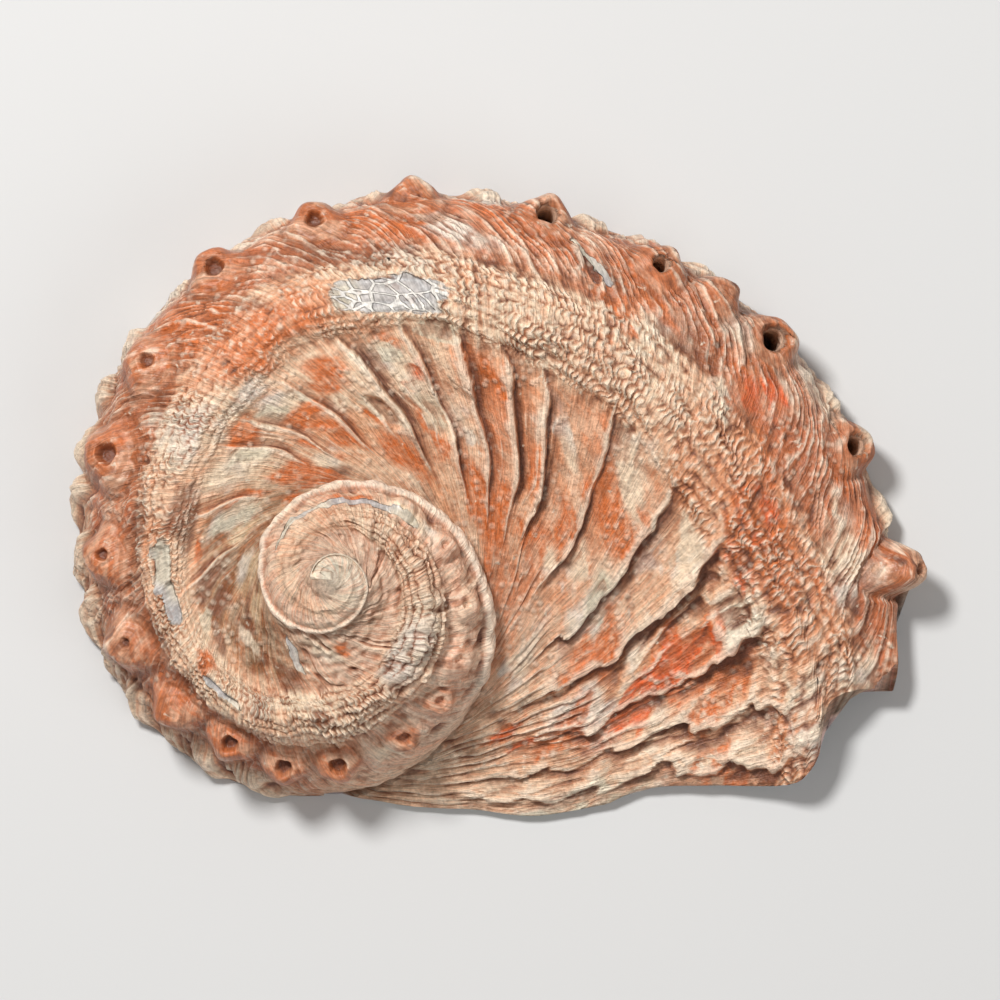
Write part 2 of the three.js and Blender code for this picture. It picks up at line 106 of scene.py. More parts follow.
# Hole row: growth, place across, radius, height, pit radius and bore radius of each tubercle, and how far
# it leans outward where that isn't LEAN. A pit's depth is a share of its radius.
LEAN = 0.3
PIT_DEPTH = 1.4
TUBERCLES = [
    (-68, 0.8, 1.1, 0.9, 0.3, 0), (-40, 0.8, 1.2, 1.0, 0.4, 0), (-12, 0.79, 1.3, 1.1, 0.4, 0),
    (10, 0.77, 1.4, 1.2, 0.5, 0), (28, 0.78, 1.4, 1.2, 0.5, 0), (47, 0.79, 1.5, 1.3, 0.6, 0),
    (71, 0.79, 1.9, 1.8, 0.8, 0), (88.5, 0.8, 1.9, 1.8, 0.8, 0), (105, 0.76, 2.0, 1.9, 0.8, 0),
    (125.5, 0.79, 2.2, 2.2, 0, 0), (147.5, 0.79, 2.4, 2.5, 0.5, 0), (170.5, 0.77, 2.3, 2.5, 0.6, 0),
    (194.5, 0.76, 2.6, 2.3, 1.0, 0), (214.5, 0.72, 2.3, 1.8, 0.7, 0), (239, 0.77, 2.3, 1.8, 0.9, 0),
    (256, 0.76, 2.2, 1.8, 0.8, 0), (275.3, 0.83, 2.3, 2.2, 0, 0), (293, 0.81, 2.3, 1.9, 1.1, 1.1),
    (305, 0.76, 2.2, 1.9, 0.9, 0.9), (315.5, 0.79, 1.9, 2.1, 0, 0), (324, 0.8, 2.4, 1.6, 1.3, 1.3),
    (341, 0.85, 2.2, 2.4, 1.1, 1.1, 0.45), (354.6, 0.84, 2.0, 4.2, 0.6, 0, 1.2),
]

# The relief: how deep it may cut on the back and at the lip, so that it stays off the inside; how far the
# side is set in to make room for it; and how far back in growth a tube still shapes the skin round it
DEEPEST = -0.45
DEEPEST_AT_LIP = -0.15
SIDE_INSET = 0.4
SAME_WHORL = 60

# The pale keel along the outer edge of the spire's whorls
KEEL_ACROSS = 0.955
KEEL_RISE = 0.9

# The inside: wall, rim, and the sloping shelf along the margin under the hole row
WALL = 1.8
LIP_WALL = 1.5
STEEPEST = 0.45
RIM_WIDTH = 1.3
SHELF_WIDTH = [(90, 1), (105, 3), (130, 4.2), (170, 5), (260, 5.5), (320, 4.5), (350, 2.5), (360, 1.5)]
SHELF_SLOPE = 0.4
SHELF_BACK_SLOPE = 2.6
CEILING_BLEND = 0.8

# Mesh steps, in degrees of growth, and the triangles left at the end
GROWTH_START = -540.0
GROWTH_END = 360.0
OUTER_STEP = 0.36
OUTER_ROWS = 200
INNER_STEP = 1.25
INNER_ROWS = 100
TRIANGLES = 192000

# Spacing of the lamellae and of the rib's scales in millimetres, and how far each cord's scales are
# shifted from the last cord's and bend back at their ends
COARSE_PITCH = 2.1
FINE_PITCH = 0.85
SCALE_PITCH = 0.65
LANE_SHIFT = 0.618
LANE_BEND = 0.5


def smooth(a, b, x):
    t = np.clip((x - a) / (b - a), 0, 1)
    return t * t * (3 - 2 * t)


def bell(x, width, power=2):
    """1 in the middle, falling off on both sides."""
    return np.exp(-(x / width) ** power)


def window(a, b, c, d, x):
    """Rises from a to b and falls from c to d."""
    return smooth(a, b, x) * (1 - smooth(c, d, x))


def lerp(a, b, t):
    return a + (b - a) * t


def slopes_of(xs, ys):
    """Slopes at the points of a smooth curve that never overshoots them."""
    steps = np.diff(xs)
    rises = [(ys[i + 1] - ys[i]) / steps[i] for i in range(len(xs) - 1)]
    slopes = [rises[0]]
    for i in range(1, len(xs) - 1):
        before, after = rises[i - 1], rises[i]
        weight_before = 2 * steps[i] + steps[i - 1]
        weight_after = steps[i] + 2 * steps[i - 1]
        turning = before * after <= 0
        safe_before = np.where(turning, 1, before)
        safe_after = np.where(turning, 1, after)
        mean = (weight_before + weight_after) / (weight_before / safe_before + weight_after / safe_after)
        slopes.append(np.where(turning, 0, mean))
    slopes.append(rises[-1])
    return slopes


def hermite(t, step, y0, y1, m0, m1):
    u = 1 - t
    return ((1 + 2 * t) * u * u * y0 + t * u * u * step * m0
            + t * t * (3 - 2 * t) * y1 + t * t * (t - 1) * step * m1)


def curve(points):
    """A smooth curve through given points, for whole arrays."""
    xs, ys = (np.array(values, float) for values in zip(*points))
    slopes = np.array(slopes_of(xs, ys), float)

    def at(x):
        x = np.clip(x, xs[0], xs[-1])
        i = np.clip(np.searchsorted(xs, x, side="right") - 1, 0, len(xs) - 2)
        step = xs[i + 1] - xs[i]
        return hermite((x - xs[i]) / step, step, ys[i], ys[i + 1], slopes[i], slopes[i + 1])

    return at


form = curve(FORM)
lag = curve(LAG)
rib_share = curve(RIB_SHARE)
hole_share = curve(HOLE_SHARE)
lip_growth = curve(LIP_GROWTH)
rib_low = curve(RIB_LOW)
rib_high = curve(RIB_HIGH)
seam_height = curve(SEAM_HEIGHT)
shelf_width = curve(SHELF_WIDTH)
line_heights = [(across, curve(list(zip(STATIONS, heights)))) for across, heights in LINES]


def across_curve(stops, across):
    """The smooth curve across a whorl whose heights at the stops are arrays."""
    xs, ys = zip(*stops)
    slopes = slopes_of(xs, ys)
    out = np.zeros(np.broadcast(across, ys[0]).shape)
    for i in range(len(xs) - 1):
        step = xs[i + 1] - xs[i]
        t = np.clip((across - xs[i]) / step, 0, 1)
        part = hermite(t, step, ys[i], ys[i + 1], slopes[i], slopes[i + 1])
        inside = (across >= xs[i]) & ((across < xs[i + 1]) | (i == len(xs) - 2))
        out = np.where(inside, part, out)
    return out


def margin_radius(angle):
    return SPIRAL_RADIUS * SPIRAL_PER_TURN ** (angle / 360) * form(angle)


def plan(growth, across):
    """Place in plan, share of the whorl's width, and that width, at growth coordinates."""
    none = np.zeros_like(growth)
    stops = [(0, none), (RIB, rib_share(growth)), (HOLE_ROW, hole_share(growth)), (1, none + 1)]
    share = across_curve(stops, across)
    angle = growth + lag(share)
    inner = margin_radius(angle - 360)
    width = margin_radius(angle) - inner
    radius = inner + share * width
    shift = 1 - smooth(-270, 0, growth - SEAM_TURN * (1 - share))
    x = radius * np.cos(np.radians(angle)) + APEX_SHIFT[0] * shift
    y = -radius * np.sin(np.radians(angle)) + APEX_SHIFT[1] * shift
    return x, y, share, width


def smooth_height(growth, across):
    stops = [(0, seam_height(growth - SEAM_TURN))]
    stops += [(line, height(growth)) for line, height in line_heights]
    stops += [(1, seam_height(growth))]
    return across_curve(stops, across)


def station_growth(station, across):
    """Near the lip the growth lines bend towards the lip's own outline."""
    zone = np.clip((station - (GROWTH_END - LIP_ZONE)) / LIP_ZONE, 0, 1)
    return station + zone * (lip_growth(across) - GROWTH_END)


def hashed(ix, iy, iz, seed):
    """A repeatable random number from 0 to 1 for each whole place."""
    with np.errstate(over="ignore"):
        h = (ix.astype(np.uint32) * np.uint32(374761393) + iy.astype(np.uint32) * np.uint32(668265263)
             + iz.astype(np.uint32) * np.uint32(2246822519)
             + np.uint32(seed * 97 + 13) * np.uint32(3266489917))
        h = (h ^ (h >> np.uint32(13))) * np.uint32(1274126177)
        h = h ^ (h >> np.uint32(16))
        h = (h ^ (h >> np.uint32(7))) * np.uint32(2654435761)
    return (h >> np.uint32(8)).astype(float) / 2.0 ** 24


def noise(x, y, z=None, seed=0):
    """Smooth noise from -1 to 1, on two or three coordinates."""
    z = np.zeros_like(x) if z is None else z
    floors = [np.floor(c).astype(np.int64) for c in (x, y, z)]
    parts = [c - f for c, f in zip((x, y, z), floors)]
    eased = [t * t * t * (t * (6 * t - 15) + 10) for t in parts]
    out = np.zeros_like(x)
    for dz in ((0, 1) if np.any(parts[2]) else (0,)):
        for dy in (0, 1):
            for dx in (0, 1):
                corner = hashed(floors[0] + dx, floors[1] + dy, floors[2] + dz, seed)
                weight = ((eased[0] if dx else 1 - eased[0]) * (eased[1] if dy else 1 - eased[1])
                          * (eased[2] if dz else 1 - eased[2]))
                out += weight * corner
    return 2 * out - 1


def layered(x, y, z, seed, layers=3):
    """Noise with finer layers on top."""
    out = np.zeros_like(x)
    for k in range(layers):
        scale = 2.03 ** k
        out += noise(x * scale, y * scale, None if z is None else z * scale, seed + k) / 1.9 ** k
    return out / 1.6


def saw(phase, hold=0.82):
    """A slow climb to each edge and a quick step down, from 0 to 1."""
    t = phase - np.floor(phase)
    return np.where(t < hold, (t / hold) ** 1.6, (1 - t) / (1 - hold))


def growth_length(growth):
    """Length along the rib, which gives the fine sculpture an even spacing."""
    table = np.arange(GROWTH_START - 90, GROWTH_END + 40, 1.0)
    rib_radius = lerp(margin_radius(table - 330), margin_radius(table + 30), 0.55)
    pace = np.radians(1.0) * rib_radius ** 0.75 * 30.0 ** 0.25
    return np.interp(growth, table, np.cumsum(pace))


class Skin:
    """The growth grid of one face of the shell, with its smooth shape."""

    def __init__(self, step, rows):
        columns = int(round((GROWTH_END - GROWTH_START) / step)) + 1
        station = GROWTH_START + step * np.arange(columns)
        across = np.linspace(0, 1, rows + 1)
        self.station, self.across = np.meshgrid(station, across, indexing="ij")
        self.overlap = int(round(SEAM_TURN / step))
        self.growth = station_growth(self.station, self.across)
        self.x, self.y, self.share, self.width = plan(self.growth, self.across)
        self.height = smooth_height(self.growth, self.across)
        self.along = growth_length(self.growth)
        self.over = self.share * self.width

    def normals(self, z):
        """Unit normals of the surface with heights z, from the grid's own differences."""
        place = self.placed(z)
        du = np.gradient(place, axis=0)
        dv = np.gradient(place, axis=1)
        n = np.cross(du, dv)
        return n / np.maximum(np.linalg.norm(n, axis=-1, keepdims=True), 1e-9)

    def placed(self, z):
        return np.stack([self.x, self.y, z], axis=-1)

    def wave(self, along, over, seed):
        """Noise with its own spacing, in millimetres, along and across the coil."""
        return noise(self.along / along, self.over / over, seed=seed)


def plate_growth(s):
    """The growth coordinate that plate edges follow, ragged along their length."""
    ragged = smooth(285, 325, s.station)
    wide = noise(s.across * 9, s.along / 30, seed=5)
    middle = noise(s.over / 1.9, s.along / 12, seed=6)
    small = noise(s.over / 0.7, s.along / 5, seed=7)
    return s.station + 1.5 * wide + lerp(0.5, 1.5, ragged) * middle + lerp(0.2, 0.6, ragged) * small


def plate_strength(s, k):
    """Each plate's edge comes and goes along its length."""
    broken = 1.0 + 0.7 * noise(k * 3.7, s.over / 4.5, seed=8) + 0.35 * noise(k * 2.3, s.over / 1.2, seed=9)
    return np.clip(broken, 0.25, 1.6)


def plate_relief(s):
    """Folds and plates of the field, each with its own wandering edge, where those edges are, and the
    painted shade under them.
    """
    growth = plate_growth(s)
    edges = np.array([p[0] for p in PLATES], float)
    k = np.clip(np.searchsorted(edges, growth), 0, len(PLATES) - 1)
    rise, low, high = (np.array([p[i] for p in PLATES])[k] for i in (1, 2, 3))
    past = np.maximum(k - 1, 0)
    before = np.where(k > 0, edges[past], edges[k] - 20)
    climb = np.clip((growth - before) / (edges[k] - before), 0, 1)
    reach = window(low, low + PLATE_FADE, high - PLATE_FADE, high, s.across)
    step = np.where(growth > edges[-1], growth - edges[-1], growth - before)
    here, there = plate_strength(s, k.astype(float)), plate_strength(s, past.astype(float))
    behind = np.where(growth > edges[-1], here, there)
    last = np.where(growth > edges[-1], PLATES[-1][1], np.array([p[1] for p in PLATES])[past] * (k > 0))
    fall = last * behind * (1 - smooth(0, PLATE_STEP, step))
    rising = np.where(growth > edges[-1], 0, rise * here * climb ** 1.5)
    rim = here * bell(np.minimum(edges[k] - growth, 9), 0.45) * (growth <= edges[-1])
    undercut_shade = behind * bell(step - PLATE_STEP, 2.4) * (step > 0.3 * PLATE_STEP) * (k > 0)
    return (rising + fall) * reach, rim * reach, undercut_shade * reach, k


def tube_distance(s, tubercles):
    """How far each place is from the nearest tube, in radii."""
    out = np.full(s.x.shape, 9.0)
    for tube in tubercles:
        if tube.growth > SAME_WHORL:
            near = s.growth > tube.growth - SAME_WHORL
            gap = np.hypot(s.x - tube.foot[0], s.y - tube.foot[1]) / tube.radius
            out = np.where(near, np.minimum(out, gap), out)
    return out


def lamella_relief(s, tubercles):
    """Overlapping growth lamellae over the whole back, arched round the tubes, and their pattern."""
    gap = tube_distance(s, tubercles)
    arch = 1.8 * bell(gap, 2.2)
    drift = 0.9 * s.wave(5, 6, 11) + 0.35 * s.wave(1.8, 1.5, 12)
    coarse_phase = s.along / COARSE_PITCH + drift + 0.5 * arch
    strength = 0.5 + 0.5 * noise(np.floor(coarse_phase) * 0.77, s.over / 4, seed=13)
    flaky = smooth(315, 345, s.growth) * (1 - smooth(0.5, 0.6, s.across))
    coarse = saw(coarse_phase) * (0.06 + 0.34 * strength ** 2 + 0.35 * flaky * strength)
    fine_drift = 1.1 * s.wave(3, 2.2, 14) + 0.4 * s.wave(1.1, 0.8, 15)
    fine_phase = s.along / FINE_PITCH + fine_drift + 1.4 * arch
    patchy = 0.32 + 0.75 * layered(s.along / 4, s.over / 2.5, None, 16)
    beside = 0.8 * bell(gap - 1.7, 0.7)
    depth = np.clip(patchy + beside, 0.05, 1) * smooth(0.7, 1.3, gap)
    fine = saw(fine_phase, 0.7) * depth
    outside = smooth(0.56, 0.64, s.across) * smooth(60, 110, s.growth)
    late = smooth(310, 350, s.growth)
    share = np.maximum(lerp(0.04, 0.19, outside), 0.14 * late)
    pattern = np.stack([fine_phase, depth * np.minimum(1, share * 4), np.zeros_like(depth)], axis=-1)
    return coarse * lerp(0.7, 1.1, outside) + fine * share, pattern


def rib_band(growth, across, along):
    """Place across the staircase rib, from 0 on its inner side to 1 on its outer side."""
    wander = 0.012 * noise(along / 9, across * 3, seed=21)
    low, high = rib_low(growth), rib_high(growth)
    return (across + wander - low) / (high - low)


def rib_relief(s):
    """The scaly spiral cords of the staircase rib, and their pattern."""
    t = rib_band(s.growth, s.across, s.along)
    on_rib = window(-0.03, 0.20, 0.88, 1.05, t) * smooth(-160, -40, s.growth)
    older = 1 - smooth(0, 90, s.growth)
    cords = lerp(8.0, 6.0, older)
    lane = t * cords + 10 + 0.45 * s.wave(2.6, 2.0, 24)
    lane = lane + 0.22 * s.wave(0.9, 0.8, 25)
    whole = np.floor(lane)
    within = lane - whole
    swell = np.sin(np.pi * within) ** 0.6
    phase = s.along / SCALE_PITCH + 0.8 * s.wave(3, 1.4, 22)
    phase = phase + 0.38 * s.wave(0.8, 0.6, 26)
    scale = saw(phase + whole * LANE_SHIFT - LANE_BEND * np.abs(2 * within - 1), 0.75)
    kept = np.clip(0.55 + 0.75 * layered(s.along / 2.6, s.over / 1.6, None, 23), 0.08, 1)
    kept = kept * lerp(1.0, 0.55, older) * (1 - 0.5 * inner_flank(s))
    crown = 0.35 * np.sin(np.pi * np.clip(t, 0, 1)) ** 0.5
    height = on_rib * (crown + lerp(0.16, 0.34, older) * swell + 0.40 * scale * (0.4 + 0.6 * swell) * kept)
    return height, np.stack([lane, phase, on_rib * kept], axis=-1)


def cord_relief(s):
    """Nodose cords down the side below the hole row."""
    side = window(0.84, 0.88, 0.985, 1, s.across) * smooth(60, 100, s.growth)
    sway = 0.5 * noise(s.along / 3, s.across * 14, seed=32)
    cords = np.abs(np.sin(np.pi * ((s.across - 0.83) / 0.17 * 3 + sway))) ** 0.8
    beads = 0.5 + 0.5 * np.sin(s.along / 0.40 + 3 * noise(s.along / 3, s.across * 20, seed=31))
    broad = 0.5 + 0.5 * noise(s.along / 2.2, s.across * 22, seed=33)
    return side * (cords * (0.10 + 0.22 * beads) + 0.35 * broad - 0.15)


def seam_relief(s):
    """The pale raised keel along the outer edge of the spire's whorls, and where it is."""
    inner_whorl = 1 - smooth(15, 45, s.growth)
    line = bell(s.across - KEEL_ACROSS, 0.03, 4) * inner_whorl
    rough = 0.75 + 0.25 * noise(s.along / 1.1, s.across * 8, seed=41)
    return KEEL_RISE * line * rough, line


def spire_relief(s):
    """Worn threads, pits and grains on the older whorls."""
    spire = (1 - smooth(40, 110, s.growth)) * (1 - smooth(0.9, 0.94, s.across))
    outside_rib = 1 - window(0.66, 0.7, 0.86, 0.9, s.across)
    threads = np.sin(2 * np.pi * s.over / 0.8 + 1.4 * s.wave(2.5, 1.5, 43))
    pits = smooth(0.15, 0.6, s.wave(1.5, 1.3, 44))
    grains = layered(s.x / 1.1, s.y / 1.1, None, 45, 2)
    return spire * (0.07 * threads * outside_rib - 0.34 * pits + 0.30 * grains)


def rough_relief(s):
    """Wear and crust: soft lumps and a finer grain, calmer on the plates of the field."""
    x, y, z = s.x, s.y, s.height
    lumps = 0.34 * layered(x / 4.4, y / 4.4, z / 4.4, 51)
    knobs = 0.16 * layered(x / 1.7, y / 1.7, z / 1.7, 53, 2)
    grain = 0.08 * layered(x / 0.8, y / 0.8, z / 0.8, 55, 2)
    field = window(0.0, 0.1, 0.36, 0.44, s.across) * smooth(150, 200, s.growth)
    field = field * (1 - 0.8 * smooth(318, 345, s.growth))
    return 0.85 * (lumps + 1.25 * knobs + 1.5 * grain) * (1 - 0.7 * field)


class Tubercle:
    """One tube of the hole row: its foot on the back, its axis and its sizes."""

    def __init__(self, values):
        self.growth, self.across, self.radius, self.height, self.pit, self.bore = values[:6]
        lean = values[6] if len(values) > 6 else LEAN
        growth = np.array([[float(self.growth)]])
        across = np.array([[float(self.across)]])
        x, y, share, width = plan(station_growth(growth, across), across)
        z = smooth_height(station_growth(growth, across), across)
        self.foot = np.array([x[0, 0], y[0, 0], z[0, 0]])
        self.place = (growth_length(self.growth), share[0, 0] * width[0, 0], self.across)
        outward = np.array([self.foot[0], self.foot[1], 0.0])
        outward *= lean / np.linalg.norm(outward)
        axis = outward + np.array([0, 0, 1.0])
        self.axis = axis / np.linalg.norm(axis)


def raise_tubercles(s, place, tubercles):
    """Lifts the skin along each tubercle's axis, with a crater in its top.

    It also says how much each place is part of a tube, and how much painted shade it gets in a crater or
    in the groove round the tube's foot.
    """
    pit_shade_mask = np.zeros(place.shape[:2])
    tube_mask = np.zeros(place.shape[:2])
    out = place.copy()
    for k, tube in enumerate(tubercles):
        near = np.abs(place - tube.foot).sum(axis=-1) < 4 * tube.radius + 2
        if tube.growth > 0:
            near &= s.growth > tube.growth - SAME_WHORL
        p = place[near] - tube.foot
        up = p @ tube.axis
        aside = p - up[:, None] * tube.axis
        distance = np.linalg.norm(aside, axis=1)
        bearing = np.arctan2(aside[:, 1], aside[:, 0])
        ragged = 1 + 0.07 * np.sin(3 * bearing + k) + 0.05 * np.sin(5 * bearing + 2.3 * k)
        rho = distance / (tube.radius * ragged)
        top = tube.height * (1 - 0.30 * rho ** 2) - up
        body = 1 / (1 + (rho / 1.12) ** 8)
        skirt = 0.25 * tube.height * bell(rho, 1.7)
        rings = 0.07 * np.sin(8 * rho * tube.radius + 2 * np.sin(bearing)) * (1 - smooth(0.9, 2.1, rho))
        groove = 0.16 * tube.height * bell(rho - 1.45, 0.22)
        lift = lerp(skirt, np.maximum(top, skirt), body) + rings - groove
        if tube.pit:
            inside = 1 - smooth(tube.pit / tube.radius * 0.6, tube.pit / tube.radius * 1.15, rho)
            lift -= inside * tube.pit * PIT_DEPTH
            # Painted shade in the pit, lighter on a bore's wall and fainter on the older tubes
            dark = BORE_SHADE if tube.bore else smooth(-20, 90, tube.growth)
            pit_shade_mask[near] = np.maximum(pit_shade_mask[near], inside * dark)
        out[near] += lift[:, None] * tube.axis
        tube_mask[near] = np.maximum(tube_mask[near], 1 - smooth(0.95, 1.35, rho))
        # Painted shade in the groove round the tube's foot
        ring = 0.7 * bell(rho - 1.38, 0.2) * smooth(40, 110, tube.growth)
        pit_shade_mask[near] = np.maximum(pit_shade_mask[near], ring)
    return out, tube_mask, pit_shade_mask


# Nodules of the keel below the hole row: growth, and size as a share of NODULE_REACH
NODULES = [(104, 0.7), (117.5, 0.6), (129, 0.4), (141, 0.6), (153, 0.4), (166, 0.7), (180, 0.7),
           (193.5, 1.0), (204.5, 0.8), (216.5, 0.8), (227.5, 0.6), (239, 0.4), (257, 0.6), (272.5, 0.5),
           (288.5, 0.7), (302.5, 0.6), (310, 0.5), (317.5, 0.6), (337, 0.5), (341.5, 0.5), (350, 0.7)]
NODULE_ACROSS = 0.94
NODULE_REACH = 1.7


def raise_nodules(s, place):
    """Pushes the nodules of the keel outward, and says how far each place moved."""
    reach = np.zeros(place.shape[:2])
    for growth, size in NODULES:
        pace = np.radians(1) * margin_radius(np.array(float(growth)))
        along = (s.growth - growth) * pace
        over = (s.across - NODULE_ACROSS) * 60
        reach = np.maximum(reach, NODULE_REACH * size * bell(along, 1.3, 4) * bell(over, 2.6, 4))
    outward = np.stack([s.x, s.y, np.zeros_like(s.x)], axis=-1)
    outward /= np.maximum(np.linalg.norm(outward, axis=-1, keepdims=True), 1e-6)
    return place + outward * reach[..., None], reach


def blurred(field, cells_along, cells_across):
    """A soft average over the grid."""
    for axis, cells in ((0, cells_along), (1, cells_across)):
        offsets = np.arange(-2 * cells, 2 * cells + 1)
        kernel = bell(offsets, cells)
        kernel /= kernel.sum()
        pad = [(0, 0), (0, 0)]
        pad[axis] = (2 * cells, 2 * cells)
        wide = np.pad(field, pad, mode="edge")
        field = sum(weight * np.take(wide, range(i, i + field.shape[axis]), axis=axis)
                    for i, weight in enumerate(kernel))
    return field


def inner_flank(s):
    """The rib's own inner flank on the early part of the last whorl, which is pale and worn."""
    along = window(90, 120, 225, 245, s.growth)
    return along * window(0.32, 0.37, 0.46, 0.50, s.across)


def outer_skin(tubercles):
    """The sculptured back: places, and the masks that its colours use."""
    s = Skin(OUTER_STEP, OUTER_ROWS)
    plates, plate_rim, undercut_shade, plate = plate_relief(s)
    keel, keel_line = seam_relief(s)
    lamellae, lamella_marks = lamella_relief(s, tubercles)
    scales, scale_marks = rib_relief(s)
    relief = plates + lamellae + scales + cord_relief(s) + keel + spire_relief(s) + rough_relief(s)
    scale = lerp(0.28, 1.0, smooth(-420, 60, s.growth))
    worn = smooth(0.35, 0.5, nearness(BARE_PATCHES, s.growth, s.across))
    glazed = smooth(0.3, 0.6, nearness(GLAZED_PATCHES + DEEP_PATCHES, s.growth, s.across))
    relief = relief * scale * (1 - 0.75 * worn) * (1 - 0.5 * glazed) - 0.15 * worn
    relief = relief - SIDE_INSET * smooth(0.74, 0.84, s.across) * smooth(60, 110, s.growth)
    relief = np.maximum(relief, lerp(DEEPEST, DEEPEST_AT_LIP, smooth(325, 345, s.station)))
    rim = np.where(s.growth > 95, 1 - smooth(0.975, 1.0, s.across), 1.0)
    lip = 1 - 0.6 * smooth(356, 360, s.station)
    relief = relief * rim * lip
    normals = s.normals(s.height)
    place = s.placed(s.height) + normals * relief[..., None]
    place, reach = raise_nodules(s, place)
    place, tube, pit_shade = raise_tubercles(s, place, tubercles)
    place[..., 2] = np.maximum(place[..., 2], 0)
    height = relief + 0.5 * reach
    # Painted shade where the relief lies below its blurred self, painted highlight where it stands above
    fine = height - blurred(height, 3, 2)
    broad = height - blurred(height, 9, 6)
    wide = height - blurred(height, 24, 14)
    field = window(0.0, 0.06, 0.36, 0.44, s.across) * smooth(90, 140, s.growth)
    painted_shade = np.clip((-fine * 4.6 - broad * 1.8) * (1 - 0.35 * field) - 0.9 * wide + 0.16 * undercut_shade, 0, 1)
    painted_shade = painted_shade * (1 - 0.65 * inner_flank(s))
    # Painted highlight on ridges, plate edges and the keel, partly the real pale edges of the plates and
    # the pale keel
    painted_highlight = np.clip(fine * 6.0 + broad * 1.2 + 0.8 * plate_rim + 0.8 * keel_line, 0, 1)
    return s, place, dict(painted_shade=np.maximum(painted_shade, pit_shade), painted_highlight=painted_highlight, tube=tube, nodule=reach,
                          plate=plate.astype(float), lamellae=lamella_marks, scales=scale_marks)


def inner_skin():
    """The pearly inside: a ceiling one wall below the back, and the shelf that rises from the rim."""
    s = Skin(INNER_STEP, INNER_ROWS)
    on_rim = smooth(SEAM_LAG, SEAM_LAG + 20, s.growth) * smooth(0.6, 1, s.across)
    radius = np.hypot(s.x, s.y)
    inset = 1 - on_rim * RIM_WIDTH / np.maximum(radius, RIM_WIDTH)
    upright = np.maximum(np.abs(s.normals(s.height)[..., 2]), STEEPEST)
    near_lip = smooth(GROWTH_END - 25, GROWTH_END, s.station)
    wall = lerp(WALL, LIP_WALL, near_lip) / upright
    ceiling = np.maximum(0, s.height - wall)
    from_rim = (1 - s.share) * s.width
    width = shelf_width(s.growth)
    shelf = SHELF_SLOPE * np.minimum(from_rim, width) + SHELF_BACK_SLOPE * np.maximum(0, from_rim - width)
    gap = ceiling - shelf
    lower = np.maximum(0, (ceiling + shelf - np.sqrt(gap * gap + CEILING_BLEND ** 2)) / 2)
    s.x, s.y = s.x * inset, s.y * inset
    return s, s.placed(np.where(s.growth <= SEAM_LAG, ceiling, lower))


def wound(s, place, faces_up):
    """Vertices, quads and free edge of a skin whose every whorl shares its seam with the one inside."""
    columns, rows = s.growth.shape
    index = np.arange(columns * rows).reshape(columns, rows)
    index[s.overlap:, 0] = index[:columns - s.overlap, -1]
    a, b = index[:-1, :-1], index[1:, :-1]
    c, d = index[1:, 1:], index[:-1, 1:]
    quads = np.stack([a, b, c, d] if faces_up else [a, d, c, b], axis=-1).reshape(-1, 4)
    apex_ring = list(index[0, :0:-1]) + list(index[:s.overlap + 1, 0])
    free = list(index[-1, :]) + list(index[-2:-1 - s.overlap:-1, -1])
    return place.reshape(-1, 3), quads, apex_ring, free


def stitched(points, outer, inner):
    """Triangles between two edges that run side by side."""
    def shares(ring):
        ends = points[np.roll(ring, -1)]
        steps = np.linalg.norm(ends - points[ring], axis=1)
        return np.concatenate([[0], np.cumsum(steps) / steps.sum()])
    at_outer, at_inner = shares(outer), shares(inner)
    faces = []
    a = b = 0
    while a < len(outer) or b < len(inner):
        p, q = outer[a % len(outer)], inner[b % len(inner)]
        if b >= len(inner) or (a < len(outer) and at_outer[a + 1] <= at_inner[b + 1]):
            a += 1
            faces.append((p, q, outer[a % len(outer)]))
        else:
            b += 1
            faces.append((p, q, inner[b % len(inner)]))
    return faces


def to_frame(places):
    """From millimetres about the pole to metres in the frame."""
    return (places - np.array([MIDDLE[0], MIDDLE[1], 0.0])) * MM


def dense_mesh(tubercles):
    """The whole shell as one closed mesh, with its masks on the points."""
    outer, outer_places, masks = outer_skin(tubercles)
    inner, inner_places = inner_skin()
    points_out, quads_out, ring_out, free_out = wound(outer, outer_places, True)
    points_in, quads_in, ring_in, free_in = wound(inner, inner_places, False)
    shift = len(points_out)
    apex = np.array([[*APEX_SHIFT, APEX_HEIGHT], [*APEX_SHIFT, APEX_HEIGHT - WALL]])
    points = np.concatenate([points_out, points_in, apex])
    triangles = [(shift + len(points_in), q, p) for p, q in zip(ring_out, ring_out[1:])]
    triangles += [(shift + len(points_in) + 1, shift + p, shift + q) for p, q in zip(ring_in, ring_in[1:])]
    triangles += stitched(points, np.array(free_out), np.array(free_in) + shift)
    faces = [tuple(q) for q in np.concatenate([quads_out, quads_in + shift]).tolist()]
    faces += [tuple(int(v) for v in t) for t in triangles]

    def joined(of_outer, of_inner):
        """A field over both skins and their two points at the apex."""
        wide = of_outer.shape[2:]
        of_outer, of_inner = of_outer.reshape(-1, *wide), of_inner.reshape(-1, *wide)
        return np.concatenate([of_outer, of_inner, of_outer[:1], of_inner[:1]])

    placed = [np.stack([s.along, s.over, s.across], axis=-1) for s in (outer, inner)]
    fields = {"growth": joined(*placed), "angle": joined(outer.growth, inner.growth),
              "inside": joined(np.zeros_like(outer.growth), np.ones_like(inner.growth))}
    for name, values in masks.items():
        fields[name] = joined(values, np.zeros((len(points_in), *values.shape[2:])))
    return to_frame(points), faces, fields


def added(name, data, place=(0, 0, 0)):
    made = bpy.data.objects.new(name, data)
    made.location = place
    bpy.context.collection.objects.link(made)
    return made


def mesh_object(name, points, faces):
    mesh = bpy.data.meshes.new(name)
    mesh.from_pydata(points, [], faces)
    mesh.validate()
    mesh.update()
    return added(name, mesh)


